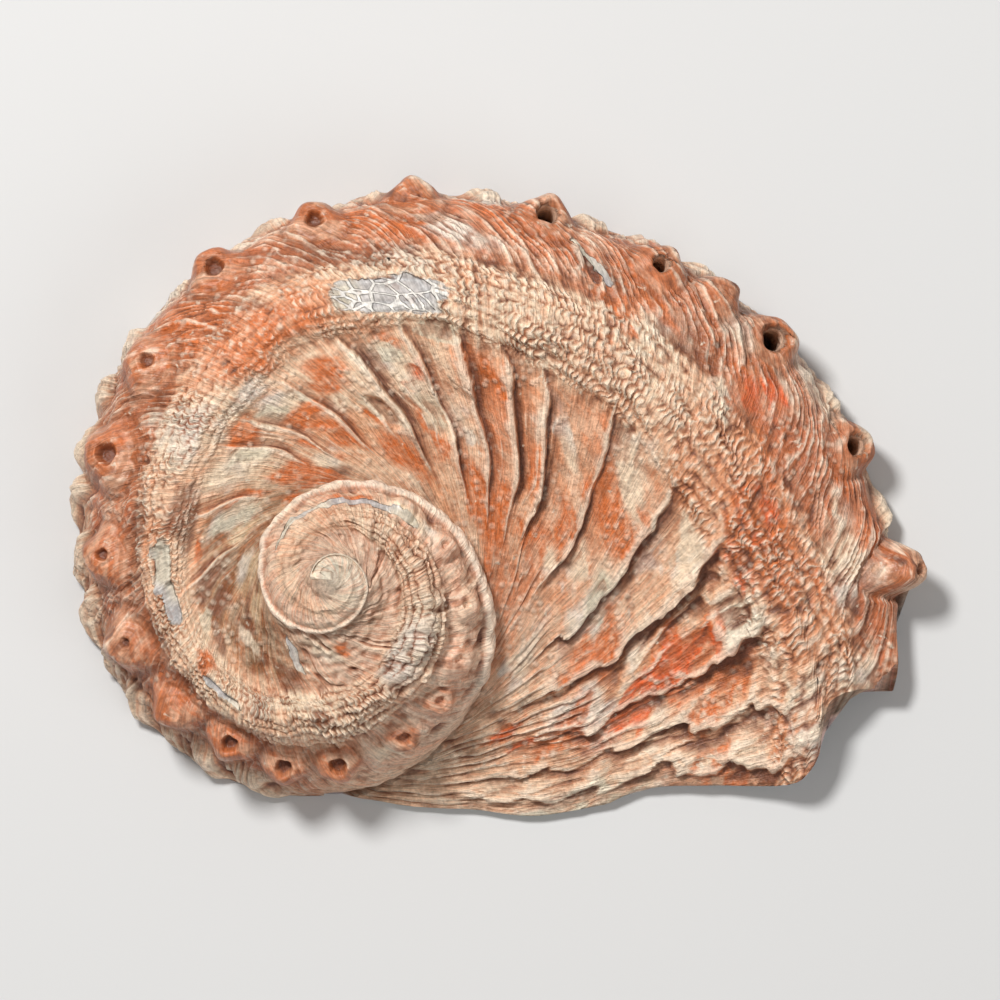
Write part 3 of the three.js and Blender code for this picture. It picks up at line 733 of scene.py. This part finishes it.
def write_field(mesh, name, values):
    """Values on the mesh's points: one number, a vector of three or a colour of four for each."""
    kind, slot = {1: ("FLOAT", "value"), 3: ("FLOAT_VECTOR", "vector"), 4: ("FLOAT_COLOR", "color")}[
        values.size // len(values)]
    layer = mesh.attributes.new(name, kind, "POINT")
    layer.data.foreach_set(slot, np.ravel(values).astype(np.float32))


def read_field(mesh, name):
    layer = mesh.attributes[name]
    wide = layer.data_type == "FLOAT_VECTOR"
    values = np.zeros(len(mesh.vertices) * (3 if wide else 1), np.float32)
    layer.data.foreach_get("vector" if wide else "value", values)
    return values.reshape(-1, 3).astype(float) if wide else values.astype(float)


def apply_modifiers(made):
    """Turns the modifiers' result into the object's own mesh."""
    graph = bpy.context.evaluated_depsgraph_get()
    old = made.data
    made.data = bpy.data.meshes.new_from_object(made.evaluated_get(graph), preserve_all_data_layers=True,
                                                depsgraph=graph)
    made.modifiers.clear()
    bpy.data.meshes.remove(old)


def bore_cutter(tube, fields):
    """A round bar along an open tube's axis, that gives the bore's wall its painted shade."""
    aside = np.cross(tube.axis, (0.0, 0.0, 1.0))
    aside /= np.linalg.norm(aside)
    turns = np.arange(BORE_SIDES) * 2 * np.pi / BORE_SIDES
    around = np.outer(np.cos(turns), aside) + np.outer(np.sin(turns), np.cross(tube.axis, aside))
    ring = tube.bore * BORE_SHARE * around
    top = tube.foot + tube.axis * (tube.height + 1)
    points = np.concatenate([ring + top, ring + top - tube.axis * BORE_DEPTH])
    following = [(i + 1) % BORE_SIDES for i in range(BORE_SIDES)]
    faces = [(i, BORE_SIDES + i, BORE_SIDES + j, j) for i, j in enumerate(following)]
    faces += [tuple(range(BORE_SIDES)), tuple(reversed(range(BORE_SIDES, 2 * BORE_SIDES)))]
    cutter = mesh_object("bore", to_frame(points).tolist(), faces)
    own = {"growth": tube.place, "angle": tube.growth, "painted_shade": BORE_SHADE, "tube": 1.0}
    for name, values in fields.items():
        filled = np.broadcast_to(own.get(name, 0.0), (len(points), *values.shape[1:]))
        write_field(cutter.data, name, filled)
    return cutter


def drill(shell, cutters):
    """Cuts the bores, and drops the cutters and their material slots."""
    for cutter in cutters:
        cut = shell.modifiers.new("bore", "BOOLEAN")
        cut.operation, cut.solver, cut.object = "DIFFERENCE", "MANIFOLD", cutter
    apply_modifiers(shell)
    shell.data.materials.clear()
    for cutter in cutters:
        bpy.data.meshes.remove(cutter.data)


def shell_mesh():
    """The shell as one object: dense, then reduced to the triangle budget, then bored."""
    tubercles = [Tubercle(values) for values in TUBERCLES]
    points, faces, fields = dense_mesh(tubercles)
    shell = mesh_object("abalone_shell", points.tolist(), faces)
    for name, values in fields.items():
        write_field(shell.data, name, values)
    fewer = shell.modifiers.new("fewer", "DECIMATE")
    fewer.ratio = TRIANGLES / sum(len(f) - 2 for f in faces)
    apply_modifiers(shell)
    drill(shell, [bore_cutter(tube, fields) for tube in tubercles if tube.bore])
    shell.data.shade_smooth()
    return shell


# Where the colours lie: growth in degrees, place across in hundredths, and half the size of each
ORANGE_PATCHES = [
    (246, 38, 6, 3), (252, 28, 3, 6), (232, 32, 5, 5), (214, 25, 6, 4), (200, 34, 5, 5), (214, 14, 7, 5),
    (232, 18, 3, 3), (230, 7, 12, 6), (248, 14, 4, 6), (189, 12, 8, 4), (169, 19, 6, 5), (164, 4, 9, 3),
    (183, 5, 10, 3), (262, 7, 4, 3), (272, 12, 4, 4), (266, 36, 2, 4), (272, 34, 4, 5), (226, 52, 16, 8),
    (280, 20, 3, 6), (296, 29, 5, 3), (296, 21, 5, 4), (311, 34, 3, 3), (322, 60, 3, 3), (326, 54, 5, 5),
    (296, 60, 3, 3), (316, 69, 4, 3), (329, 51, 3, 4), (120, 47, 6, 5), (-98, 78, 14, 6), (324, 17, 7, 6),
    (334, 55, 8, 6), (345, 36, 3, 4), (157, 34, 5, 3), (20, 14, 5, 5), (266, 7, 14, 5), (286, 14, 5, 4),
    (307, 30, 8, 5), (352, 31, 2, 2), (359, 35, 2, 3), (336, 32, 4, 7), (340.5, 22, 5, 10),
    (340, 9, 4, 3), (198, 70, 7, 8), (222, 66, 9, 9), (262, 72, 5, 8), (284, 74, 5, 8), (300, 70, 4, 7),
    (346, 74, 5, 6), (336, 74, 5, 6), (312, 93, 3, 3),
]
DEEP_PATCHES = [
    (340, 24, 4, 7), (338, 33, 3.5, 5), (330.5, 47.5, 2, 3), (340, 9, 3, 1.5), (327, 56, 4, 4),
    (318, 65, 3, 3), (252, 29, 3, 4), (305, 97, 3, 2),
]
BROWN_PATCHES = [
    (171, 43, 12, 6), (140, 30, 9, 10), (125, 26, 8, 8), (98, 16, 10, 7), (88, 26, 7, 4), (74, 32, 9, 8),
    (16, 46, 9, 8), (64, 54, 5, 3), (196, 8, 7, 3), (217, 34, 4, 3), (140, 62, 8, 3), (172, 62, 9, 3),
    (204, 63, 6, 3), (228, 61, 6, 3), (248, 67, 5, 4), (291, 66, 4, 3), (306, 64, 4, 2.5),
    (255, 62, 6, 2.5), (118, 36, 6, 4),
]
PALE_PATCHES = [
    (244, 28, 5, 7), (212, 34, 6, 6), (206, 44, 8, 4), (226, 23, 6, 4), (202, 11, 6, 3), (187, 30, 10, 9),
    (258, 20, 3, 5), (272, 69, 5, 8), (197, 53, 9, 5), (201, 64, 4, 6), (286, 33, 4, 3), (304, 39, 6, 5),
    (306, 33, 4, 3), (312, 60, 2, 3), (302, 62, 4, 5), (317, 73, 6, 5), (332, 85, 8, 12), (317, 32, 3, 4),
    (322, 39, 3, 3), (163, 21, 8, 9), (52, 81, 9, 5), (128, 10, 8, 5), (74, 46, 25, 6), (96, 23, 8, 4),
    (29, 12, 13, 8), (334, 42, 5, 6), (349, 25, 3, 3), (357, 20, 3, 4), (357, 20, 2.5, 6),
    (328, 25, 3, 3), (-60, 76, 16, 6), (0, 50, 30, 12), (337, 15, 6, 4), (350, 47, 3, 5), (298, 17, 5, 4),
    (314, 21, 6, 6), (312, 6, 7, 3), (358, 49, 3, 4), (236, 93, 12, 4), (262, 60, 5, 3), (342, 66, 5, 6),
    (353, 60, 4, 6), (286, 90, 6, 5), (352, 93, 5, 5), (252, 88, 7, 3),
]
GLAZED_PATCHES = [
    (252, 22, 3, 7), (236, 20, 3, 5), (208, 31, 4, 5), (193, 30, 6, 6), (219, 32, 2.5, 4),
    (244, 36, 2.5, 4), (128, 36, 5, 4), (336, 42, 3, 4), (315, 21, 4, 3), (357.5, 19, 3, 6),
    (262, 42, 3, 3), (162, 20, 7, 7),
]
BARE_PATCHES = [
    (254, 51.5, 10, 4.5), (159, 53, 7, 3.5), (146, 50, 8, 2.5), (110, 52, 9, 1), (-115, 73, 55, 3.5),
    (292, 68, 1.0, 4), (-66, 74, 8, 5), (61, 18, 2.5, 9),
]
RETICULE = (254, 51.5, 13, 6)

# Colours, as sRGB from 0 to 255. The shadow, brown and darkest colours also serve as painted shade, and
# the palest cream as painted highlight
PALETTE = {
    "field": (222, 168, 130), "cream": (238, 216, 188), "orange": (208, 106, 44), "deep": (218, 90, 34),
    "brown": (118, 68, 44), "rib": (236, 208, 178), "rib_warm": (224, 156, 114), "channel": (188, 112, 76),
    "spire": (220, 188, 164), "side": (184, 144, 116), "bare": (176, 177, 178), "painted_highlight": (242, 224, 202),
    "tube": (178, 108, 70), "pit_shade": (92, 52, 40), "apex": (230, 220, 200),
    "chalk": (222, 212, 200), "glaze": (214, 206, 182), "white": (226, 226, 222), "keel": (232, 210, 196),
    "shadow": (156, 88, 50), "recess": (132, 92, 58), "olive": (176, 160, 118),
    "nacre_pink": (226, 186, 190), "nacre_green": (176, 208, 196), "nacre_silver": (214, 214, 222),
}


def linear(name):
    """A palette colour as linear light."""
    out = []
    for value in PALETTE[name]:
        c = value / 255
        out.append(c / 12.92 if c <= 0.04045 else ((c + 0.055) / 1.055) ** 2.4)
    return np.array(out)


def toward(colour, other, amount):
    """A colour moved towards another, or towards one of the palette, by an amount for each point."""
    other = linear(other) if isinstance(other, str) else other
    return lerp(colour, other, amount[:, None])


def nearness(patches, angle, across):
    """1 in the middle of a patch, one third on its edge, 0 well outside every patch."""
    out = np.zeros_like(angle)
    for growth, middle, half_growth, half_across in patches:
        u, v = (angle - growth) / half_growth, (100 * across - middle) / half_across
        d = 0.5 * np.maximum(np.abs(u), np.abs(v)) + 0.5 * np.hypot(u, v)
        out = np.maximum(out, np.clip(1.5 - d, 0, 1.5) / 1.5)
    return out


def ground_colour(angle, across, along, over):
    """The broad colour of each zone of the back, before patches and wear."""
    a = across + 0.02 * noise(along / 4, over / 3, seed=71)
    drift = noise(along / 6, over / 6, seed=72)
    colour = toward(linear("field"), "cream", np.clip(0.35 + 0.5 * drift, 0, 1))
    glow = window(258, 268, 300, 325, angle)
    colour = toward(colour, "orange", glow * np.clip(0.40 + 0.5 * drift, 0, 0.7))
    spire = 1 - smooth(40, 95, angle)
    colour = toward(colour, "spire", spire)
    recess = window(45, 80, 150, 215, angle) * (1 - smooth(0.3, 0.36, a))
    patchy = noise(along / 2.2, over / 1.6, seed=73)
    colour = toward(colour, "recess", recess * smooth(-0.5, 0.2, patchy) * 0.9)
    colour = toward(colour, "olive", recess * smooth(0.1, 0.5, -patchy) * 0.5)
    colour = toward(colour, "channel", smooth(0.59, 0.63, a) * smooth(70, 100, angle))
    warm = np.clip(0.25 + 0.5 * drift + 0.6 * smooth(300, 335, angle), 0, 1)
    on_rib = window(-0.02, 0.10, 0.92, 1.04, rib_band(angle, a, along))
    colour = toward(colour, toward(linear("rib"), "rib_warm", warm), on_rib * (1 - 0.3 * spire))
    keel = bell(across - KEEL_ACROSS, 0.028, 4) * (1 - smooth(15, 45, angle))
    colour = toward(colour, "keel", 0.85 * keel * smooth(-330, -270, angle))
    colour = toward(colour, "side", smooth(0.86, 0.9, a) * smooth(80, 100, angle))
    return toward(colour, "apex", 1 - smooth(-420, -260, angle))


def nacre_colour(across, along, over):
    """The pearly inside, in slow bands of pink, green and silver."""
    band = np.sin(along / 3.1 + 2.5 * noise(along / 9, over / 7, seed=81) + 4 * across)
    colour = toward(linear("nacre_silver"), "nacre_pink", np.clip(band, 0, 1))
    colour = toward(colour, "nacre_green", np.clip(-band, 0, 1))
    return toward(colour, "nacre_silver", np.clip(0.4 + noise(along / 5, over / 5, seed=82), 0, 0.8))


def plate_tint(plate, along, over):
    """Each plate has its own run of colour along its edge, so that the colours stop at the edges."""
    return noise(plate * 5.3, over / 3.2 + 0.12 * along, seed=75)


def paint(mesh):
    """Turns the growth coordinates into the colour masks that the material reads."""
    along, over, across = read_field(mesh, "growth").T
    angle, inside = read_field(mesh, "angle"), read_field(mesh, "inside")
    painted_shade, painted_highlight, tube = (read_field(mesh, name) for name in ("painted_shade", "painted_highlight", "tube"))
    tubes = np.clip(tube, 0, 1) * smooth(0, 60, angle)
    ground = toward(ground_colour(angle, across, along, over), "tube", 0.85 * tubes)
    ground = toward(ground, "cream", 0.6 * tube * smooth(350, 353, angle))
    nodule = np.clip(read_field(mesh, "nodule") * 1.6, 0, 1)
    ground = toward(ground, lerp(linear("side"), linear("cream"), 0.6), nodule)
    ground = toward(ground, nacre_colour(across, along, over), smooth(0.4, 0.6, inside))
    write_field(mesh, "ground", np.column_stack([ground, np.ones(len(angle))]))
    plate = read_field(mesh, "plate")
    tint = plate_tint(plate, along, over) * smooth(140, 190, angle) * (1 - smooth(0.44, 0.5, across))
    bent = angle + 3.0 * noise(along / 3.6, over / 1.4, seed=91) + 3.0 * tint
    bent = bent + 2.6 * noise(along / 2.4, over / 0.5, seed=92)
    moved = across + 0.03 * noise(along / 4.0, over / 2.0, seed=93)
    moved = moved + 0.012 * noise(along / 2.0, over / 0.8, seed=94)
    patches = [nearness(p, bent, moved) for p in (ORANGE_PATCHES, PALE_PATCHES, BROWN_PATCHES)]
    patches.append(nearness(BARE_PATCHES, lerp(angle, bent, 0.5), lerp(across, moved, 0.4)))
    patches[0] = patches[0] + 0.30 * tint
    patches[1] = patches[1] - 0.25 * tint
    patches = [np.clip(p, 0, 1) * (1 - inside) * (1 - 0.75 * tubes) for p in patches]
    write_field(mesh, "patches", np.column_stack(patches))
    deep = nearness(DEEP_PATCHES, bent, moved) * (1 - inside)
    reticule = nearness([RETICULE], angle, across) * (1 - inside)
    glazed = nearness(GLAZED_PATCHES, bent, moved) * (1 - inside)
    # Painted shade and painted highlight, with the deep orange patches and the net of the bare patch
    write_field(mesh, "painted_light_and_patches", np.column_stack([painted_shade, painted_highlight, deep, reticule]))
    write_field(mesh, "glazed", glazed)
    for name in ("painted_shade", "painted_highlight", "nodule", "angle", "plate"):
        mesh.attributes.remove(mesh.attributes[name])


class Graph:
    """Short names for the few kinds of shader node that the material uses."""

    def __init__(self, name):
        self.material = bpy.data.materials.new(name)
        self.material.use_nodes = True
        self.tree = self.material.node_tree
        self.nodes = self.tree.nodes
        self.shader = self.nodes["Principled BSDF"]

    def put(self, socket, value):
        if isinstance(value, bpy.types.NodeSocket):
            self.tree.links.new(value, socket)
        else:
            socket.default_value = value

    def attribute(self, name):
        node = self.nodes.new("ShaderNodeAttribute")
        node.attribute_name = name
        return node

    def channels(self, name):
        node = self.attribute(name)
        split = self.nodes.new("ShaderNodeSeparateColor")
        self.put(split.inputs[0], node.outputs["Color"])
        return split.outputs[0], split.outputs[1], split.outputs[2], node.outputs["Alpha"]

    def axes(self, name):
        split = self.nodes.new("ShaderNodeSeparateXYZ")
        self.put(split.inputs[0], self.attribute(name).outputs["Vector"])
        return split.outputs

    def math(self, operation, a, b=0.0):
        node = self.nodes.new("ShaderNodeMath")
        node.operation = operation
        self.put(node.inputs[0], a)
        self.put(node.inputs[1], b)
        return node.outputs[0]

    def times(self, a, b):
        return self.math("MULTIPLY", a, b)

    def plus(self, a, b):
        return self.math("ADD", a, b)

    def rest(self, a):
        return self.math("SUBTRACT", 1.0, a)

    def total(self, *parts):
        """The sum of values, each times its weight."""
        out = self.times(*parts[0])
        for part in parts[1:]:
            out = self.plus(out, self.times(*part))
        return out

    def spread(self, value, low, high, out_low=0.0, out_high=1.0):
        node = self.nodes.new("ShaderNodeMapRange")
        node.interpolation_type = "SMOOTHSTEP"
        for socket, number in zip(node.inputs[:5], (value, low, high, out_low, out_high)):
            self.put(socket, number)
        return node.outputs[0]

    def mix(self, amount, a, b, blend="MIX"):
        node = self.nodes.new("ShaderNodeMix")
        node.data_type, node.blend_type = "RGBA", blend
        colours = [s for s in node.inputs if s.type == "RGBA"]
        self.put(node.inputs[0], amount)
        for socket, value in zip(colours, (a, b)):
            self.put(socket, (*linear(value), 1.0) if isinstance(value, str) else value)
        return [s for s in node.outputs if s.type == "RGBA"][0]

    def scaled(self, vector, scale):
        node = self.nodes.new("ShaderNodeVectorMath")
        node.operation = "MULTIPLY"
        self.put(node.inputs[0], vector)
        node.inputs[1].default_value = scale
        return node.outputs[0]

    def noise(self, vector, scale=1.0, detail=3.0, roughness=0.55):
        node = self.nodes.new("ShaderNodeTexNoise")
        self.put(node.inputs["Vector"], vector)
        node.inputs["Scale"].default_value = scale
        node.inputs["Detail"].default_value = detail
        node.inputs["Roughness"].default_value = roughness
        return node.outputs[0]

    def cells(self, vector, feature, scale=1.0):
        node = self.nodes.new("ShaderNodeTexVoronoi")
        node.feature = feature
        node.inputs["Scale"].default_value = scale
        self.put(node.inputs["Vector"], vector)
        return node.outputs[0]


def saw_nodes(g, phase, hold):
    """The same slow climb and quick step down as saw()."""
    t = g.math("FRACT", phase)
    up = g.math("POWER", g.math("DIVIDE", t, hold), 1.6)
    down = g.math("DIVIDE", g.rest(t), 1.0 - hold)
    return g.math("MINIMUM", up, down)


def scale_pattern(g):
    """Height of the rib's scales, crisper than the mesh, and where the rib is."""
    lane, phase, on_rib = g.axes("scales")
    within = g.math("FRACT", lane)
    whole = g.math("SUBTRACT", lane, within)
    bend = g.math("ABSOLUTE", g.math("SUBTRACT", g.times(within, 2.0), 1.0))
    shifted = g.plus(phase, g.times(whole, LANE_SHIFT))
    scale = saw_nodes(g, g.math("SUBTRACT", shifted, g.times(bend, LANE_BEND)), 0.75)
    swell = g.rest(g.times(bend, 0.6))
    return g.times(scale, swell), on_rib


def lamella_pattern(g):
    """Height of the fine lamellae, crisper than the mesh, and how strong they are."""
    phase, depth, _ = g.axes("lamellae")
    return saw_nodes(g, phase, 0.7), depth


def shell_material():
    g = Graph("shell_surface")
    growth = g.attribute("growth").outputs["Vector"]
    outside = g.rest(g.spread(g.attribute("inside").outputs["Fac"], 0.4, 0.6))
    place = g.nodes.new("ShaderNodeTexCoord").outputs["Object"]
    ground = g.attribute("ground").outputs["Color"]
    tube = g.attribute("tube").outputs["Fac"]
    orange, pale, brown, bare = g.channels("patches")
    painted_shade, painted_highlight, deep, reticule = g.channels("painted_light_and_patches")

    def drawn(along, over, detail, roughness=0.6):
        """Noise drawn out along the coil or across it."""
        return g.noise(g.scaled(growth, (along, over, 1.0)), 1.0, detail, roughness)

    streaks = drawn(2.6, 0.35, 4.0)
    broad_streaks = drawn(0.25, 0.8, 3.0)
    combed = drawn(0.45, 3.2, 3.0)
    lines = drawn(5.5, 0.5, 3.0)
    mottle = g.noise(place, 260.0, 4.0, 0.6)
    grain = g.noise(place, 2400.0, 3.0, 0.7)
    ragged = g.total((mottle, 0.35), (combed, 0.40), (streaks, 0.25))

    def patch(nearness, seed_shift, low=0.52, high=1.02):
        """A patch with a ragged edge."""
        return g.spread(g.plus(nearness, g.times(g.plus(ragged, seed_shift), 0.70)), low, high)

    banded = g.spread(drawn(0.9, 1.6, 4.0, 0.65), 0.34, 0.62, 0.55, 1.0)
    glazed = patch(g.attribute("glazed").outputs["Fac"], 0.03, 0.56, 0.86)
    chalk = g.mix(g.spread(g.noise(place, 130.0, 3.0, 0.6), 0.42, 0.60), "cream", "chalk")
    worn = patch(bare, 0.0, 0.60, 0.70)
    kept = g.times(outside, g.rest(worn))
    scales, on_rib = scale_pattern(g)
    on_rib = g.times(on_rib, kept)
    lamellae, depth = lamella_pattern(g)
    depth = g.times(depth, kept)
    net = g.cells(g.scaled(growth, (0.62, 1.15, 0.0)), "DISTANCE_TO_EDGE")
    meshed = g.times(g.spread(net, 0.12, 0.05), g.spread(reticule, 0.2, 0.4))
    silver = g.mix(g.spread(g.noise(place, 200.0, 1.0, 0.5), 0.45, 0.62, 0.0, 0.7), "bare", "glaze")
    silver = g.mix(meshed, silver, "white")
    flecks = g.spread(g.noise(place, 900.0, 3.0, 0.6), 0.66, 0.74)
    specks = g.spread(g.noise(place, 700.0, 2.0, 0.6), 0.40, 0.30)
    crusted = g.times(g.spread(g.noise(place, 170.0, 2.0, 0.5), 0.42, 0.60), kept)
    crusted = g.times(crusted, g.rest(g.times(tube, 0.7)))
    granules = g.times(g.spread(g.cells(place, "F1", 1150.0), 0.50, 0.15), crusted)

    colour = ground
    for amount, over in [
        (g.spread(streaks, 0.42, 0.62, 0.0, 0.35), "orange"),
        (g.spread(broad_streaks, 0.56, 0.40, 0.0, 0.30), "cream"),
        (g.times(patch(brown, 0.0), 0.75), "brown"),
        (g.times(patch(pale, 0.02), 0.85), chalk),
        (g.times(patch(orange, 0.04), g.times(banded, 0.95)), "orange"),
        (g.times(patch(deep, 0.05), g.times(banded, 0.9)), "deep"),
        (g.times(glazed, 0.70), "glaze"),
        # Painted shade at the foot of each scale and lamella, and painted highlight on their tops
        (g.times(g.spread(scales, 0.28, 0.0), g.times(on_rib, 0.75)), "shadow"),
        (g.times(g.spread(scales, 0.50, 0.95), g.times(on_rib, 0.70)), "painted_highlight"),
        (g.times(g.spread(lamellae, 0.22, 0.0), g.times(depth, 0.50)), "shadow"),
        (g.times(g.spread(lamellae, 0.65, 0.95), g.times(depth, 0.30)), "painted_highlight"),
        # Painted highlight on ridges and plate edges, partly their real pale colour
        (g.spread(painted_highlight, 0.15, 0.9, 0.0, 0.60), "painted_highlight"),
        # Painted shade in the hollows, darkest in the pits
        (g.spread(painted_shade, 0.08, 0.50, 0.0, 0.55), "shadow"),
        (g.spread(painted_shade, 0.45, 1.0, 0.0, 0.75), "brown"),
        (g.spread(painted_shade, 0.9, 1.0, 0.0, 0.5), "pit_shade"),
        (g.times(worn, 0.85), silver),
        (g.times(flecks, 0.60), "apex"),
        (g.times(specks, 0.30), "brown"),
        # Pale granule tips: crust, partly painted glints
        (g.times(granules, 0.35), "painted_highlight"),
    ]:
        colour = g.mix(amount, colour, over)
    grey = g.nodes.new("ShaderNodeCombineColor")
    shade = g.spread(g.total((grain, 0.45), (lines, 0.55)), 0.33, 0.67, 0.66, 1.28)
    for socket in grey.inputs[:3]:
        g.put(socket, shade)
    colour = g.mix(1.0, colour, grey.outputs[0], "MULTIPLY")
    g.put(g.shader.inputs["Base Color"], g.mix(outside, ground, colour))

    polish = g.spread(mottle, 0.3, 0.7, 0.33, 0.55)
    g.put(g.shader.inputs["Roughness"], g.total((polish, outside), (g.rest(outside), 0.22)))
    g.shader.inputs["Specular IOR Level"].default_value = 0.5

    smoothed = g.math("MAXIMUM", g.times(worn, 0.85), g.times(tube, 0.55))
    relief = g.total((lines, 0.20), (grain, 0.10), (g.noise(place, 600.0, 3.0, 0.6), 0.26))
    relief = g.total((relief, g.rest(smoothed)), (granules, 0.14), (meshed, g.times(worn, 0.20)),
                     (mottle, 0.12), (g.times(scales, on_rib), 0.26), (g.times(lamellae, depth), 0.16))
    bump = g.nodes.new("ShaderNodeBump")
    bump.inputs["Distance"].default_value = MM
    g.put(bump.inputs["Strength"], outside)
    g.put(bump.inputs["Height"], relief)
    g.put(g.shader.inputs["Normal"], bump.outputs[0])
    return g.material


# The picture: its width in the plane of the rim, its middle in the frame, and the camera's height
PICTURE_WIDTH = 93.46 * MM
PICTURE_MIDDLE = (-0.63 * MM, -0.39 * MM)
CAMERA_HEIGHT = 1.5
SENSOR = 36.0

# The floor, a hair below the rim so that the two never lie in one plane
FLOOR_HALF = 3.0
FLOOR_LEVEL = -0.02 * MM


def camera():
    data = bpy.data.cameras.new("camera")
    data.sensor_width = SENSOR
    data.lens = SENSOR * CAMERA_HEIGHT / PICTURE_WIDTH
    data.clip_start, data.clip_end = 0.01, 10
    bpy.context.scene.camera = added("camera", data, (*PICTURE_MIDDLE, CAMERA_HEIGHT))


def area_light(name, place, size, watts, colour):
    data = bpy.data.lights.new(name, "AREA")
    data.shape, data.size, data.energy, data.color = "DISK", size, watts, colour
    aim = Vector((0, 0, 0.01)) - Vector(place)
    added(name, data, place).rotation_euler = aim.to_track_quat("-Z", "Y").to_euler()


def studio():
    area_light("key", (-0.20, 0.28, 0.54), 0.14, 4.1, (1.0, 0.98, 0.95))
    area_light("fill", (0.42, -0.30, 0.50), 0.5, 1.0, (1.0, 0.97, 0.94))
    world = bpy.data.worlds.new("studio")
    world.use_nodes = True
    world.node_tree.nodes["Background"].inputs["Color"].default_value = (1.0, 0.96, 0.92, 1)
    world.node_tree.nodes["Background"].inputs["Strength"].default_value = 0.31
    bpy.context.scene.world = world
    bpy.context.scene.view_settings.view_transform = "Standard"


def floor():
    corners = [(-FLOOR_HALF, -FLOOR_HALF, FLOOR_LEVEL), (FLOOR_HALF, -FLOOR_HALF, FLOOR_LEVEL),
               (FLOOR_HALF, FLOOR_HALF, FLOOR_LEVEL), (-FLOOR_HALF, FLOOR_HALF, FLOOR_LEVEL)]
    made = mesh_object("floor", corners, [(0, 1, 2, 3)])
    g = Graph("floor")
    g.shader.inputs["Base Color"].default_value = (0.62, 0.63, 0.64, 1)
    g.shader.inputs["Roughness"].default_value = 0.8
    made.data.materials.append(g.material)


def main():
    shell = shell_mesh()
    paint(shell.data)
    shell.data.materials.append(shell_material())
    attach(shell, "root")
    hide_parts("shell")
    floor()
    studio()
    camera()


main()
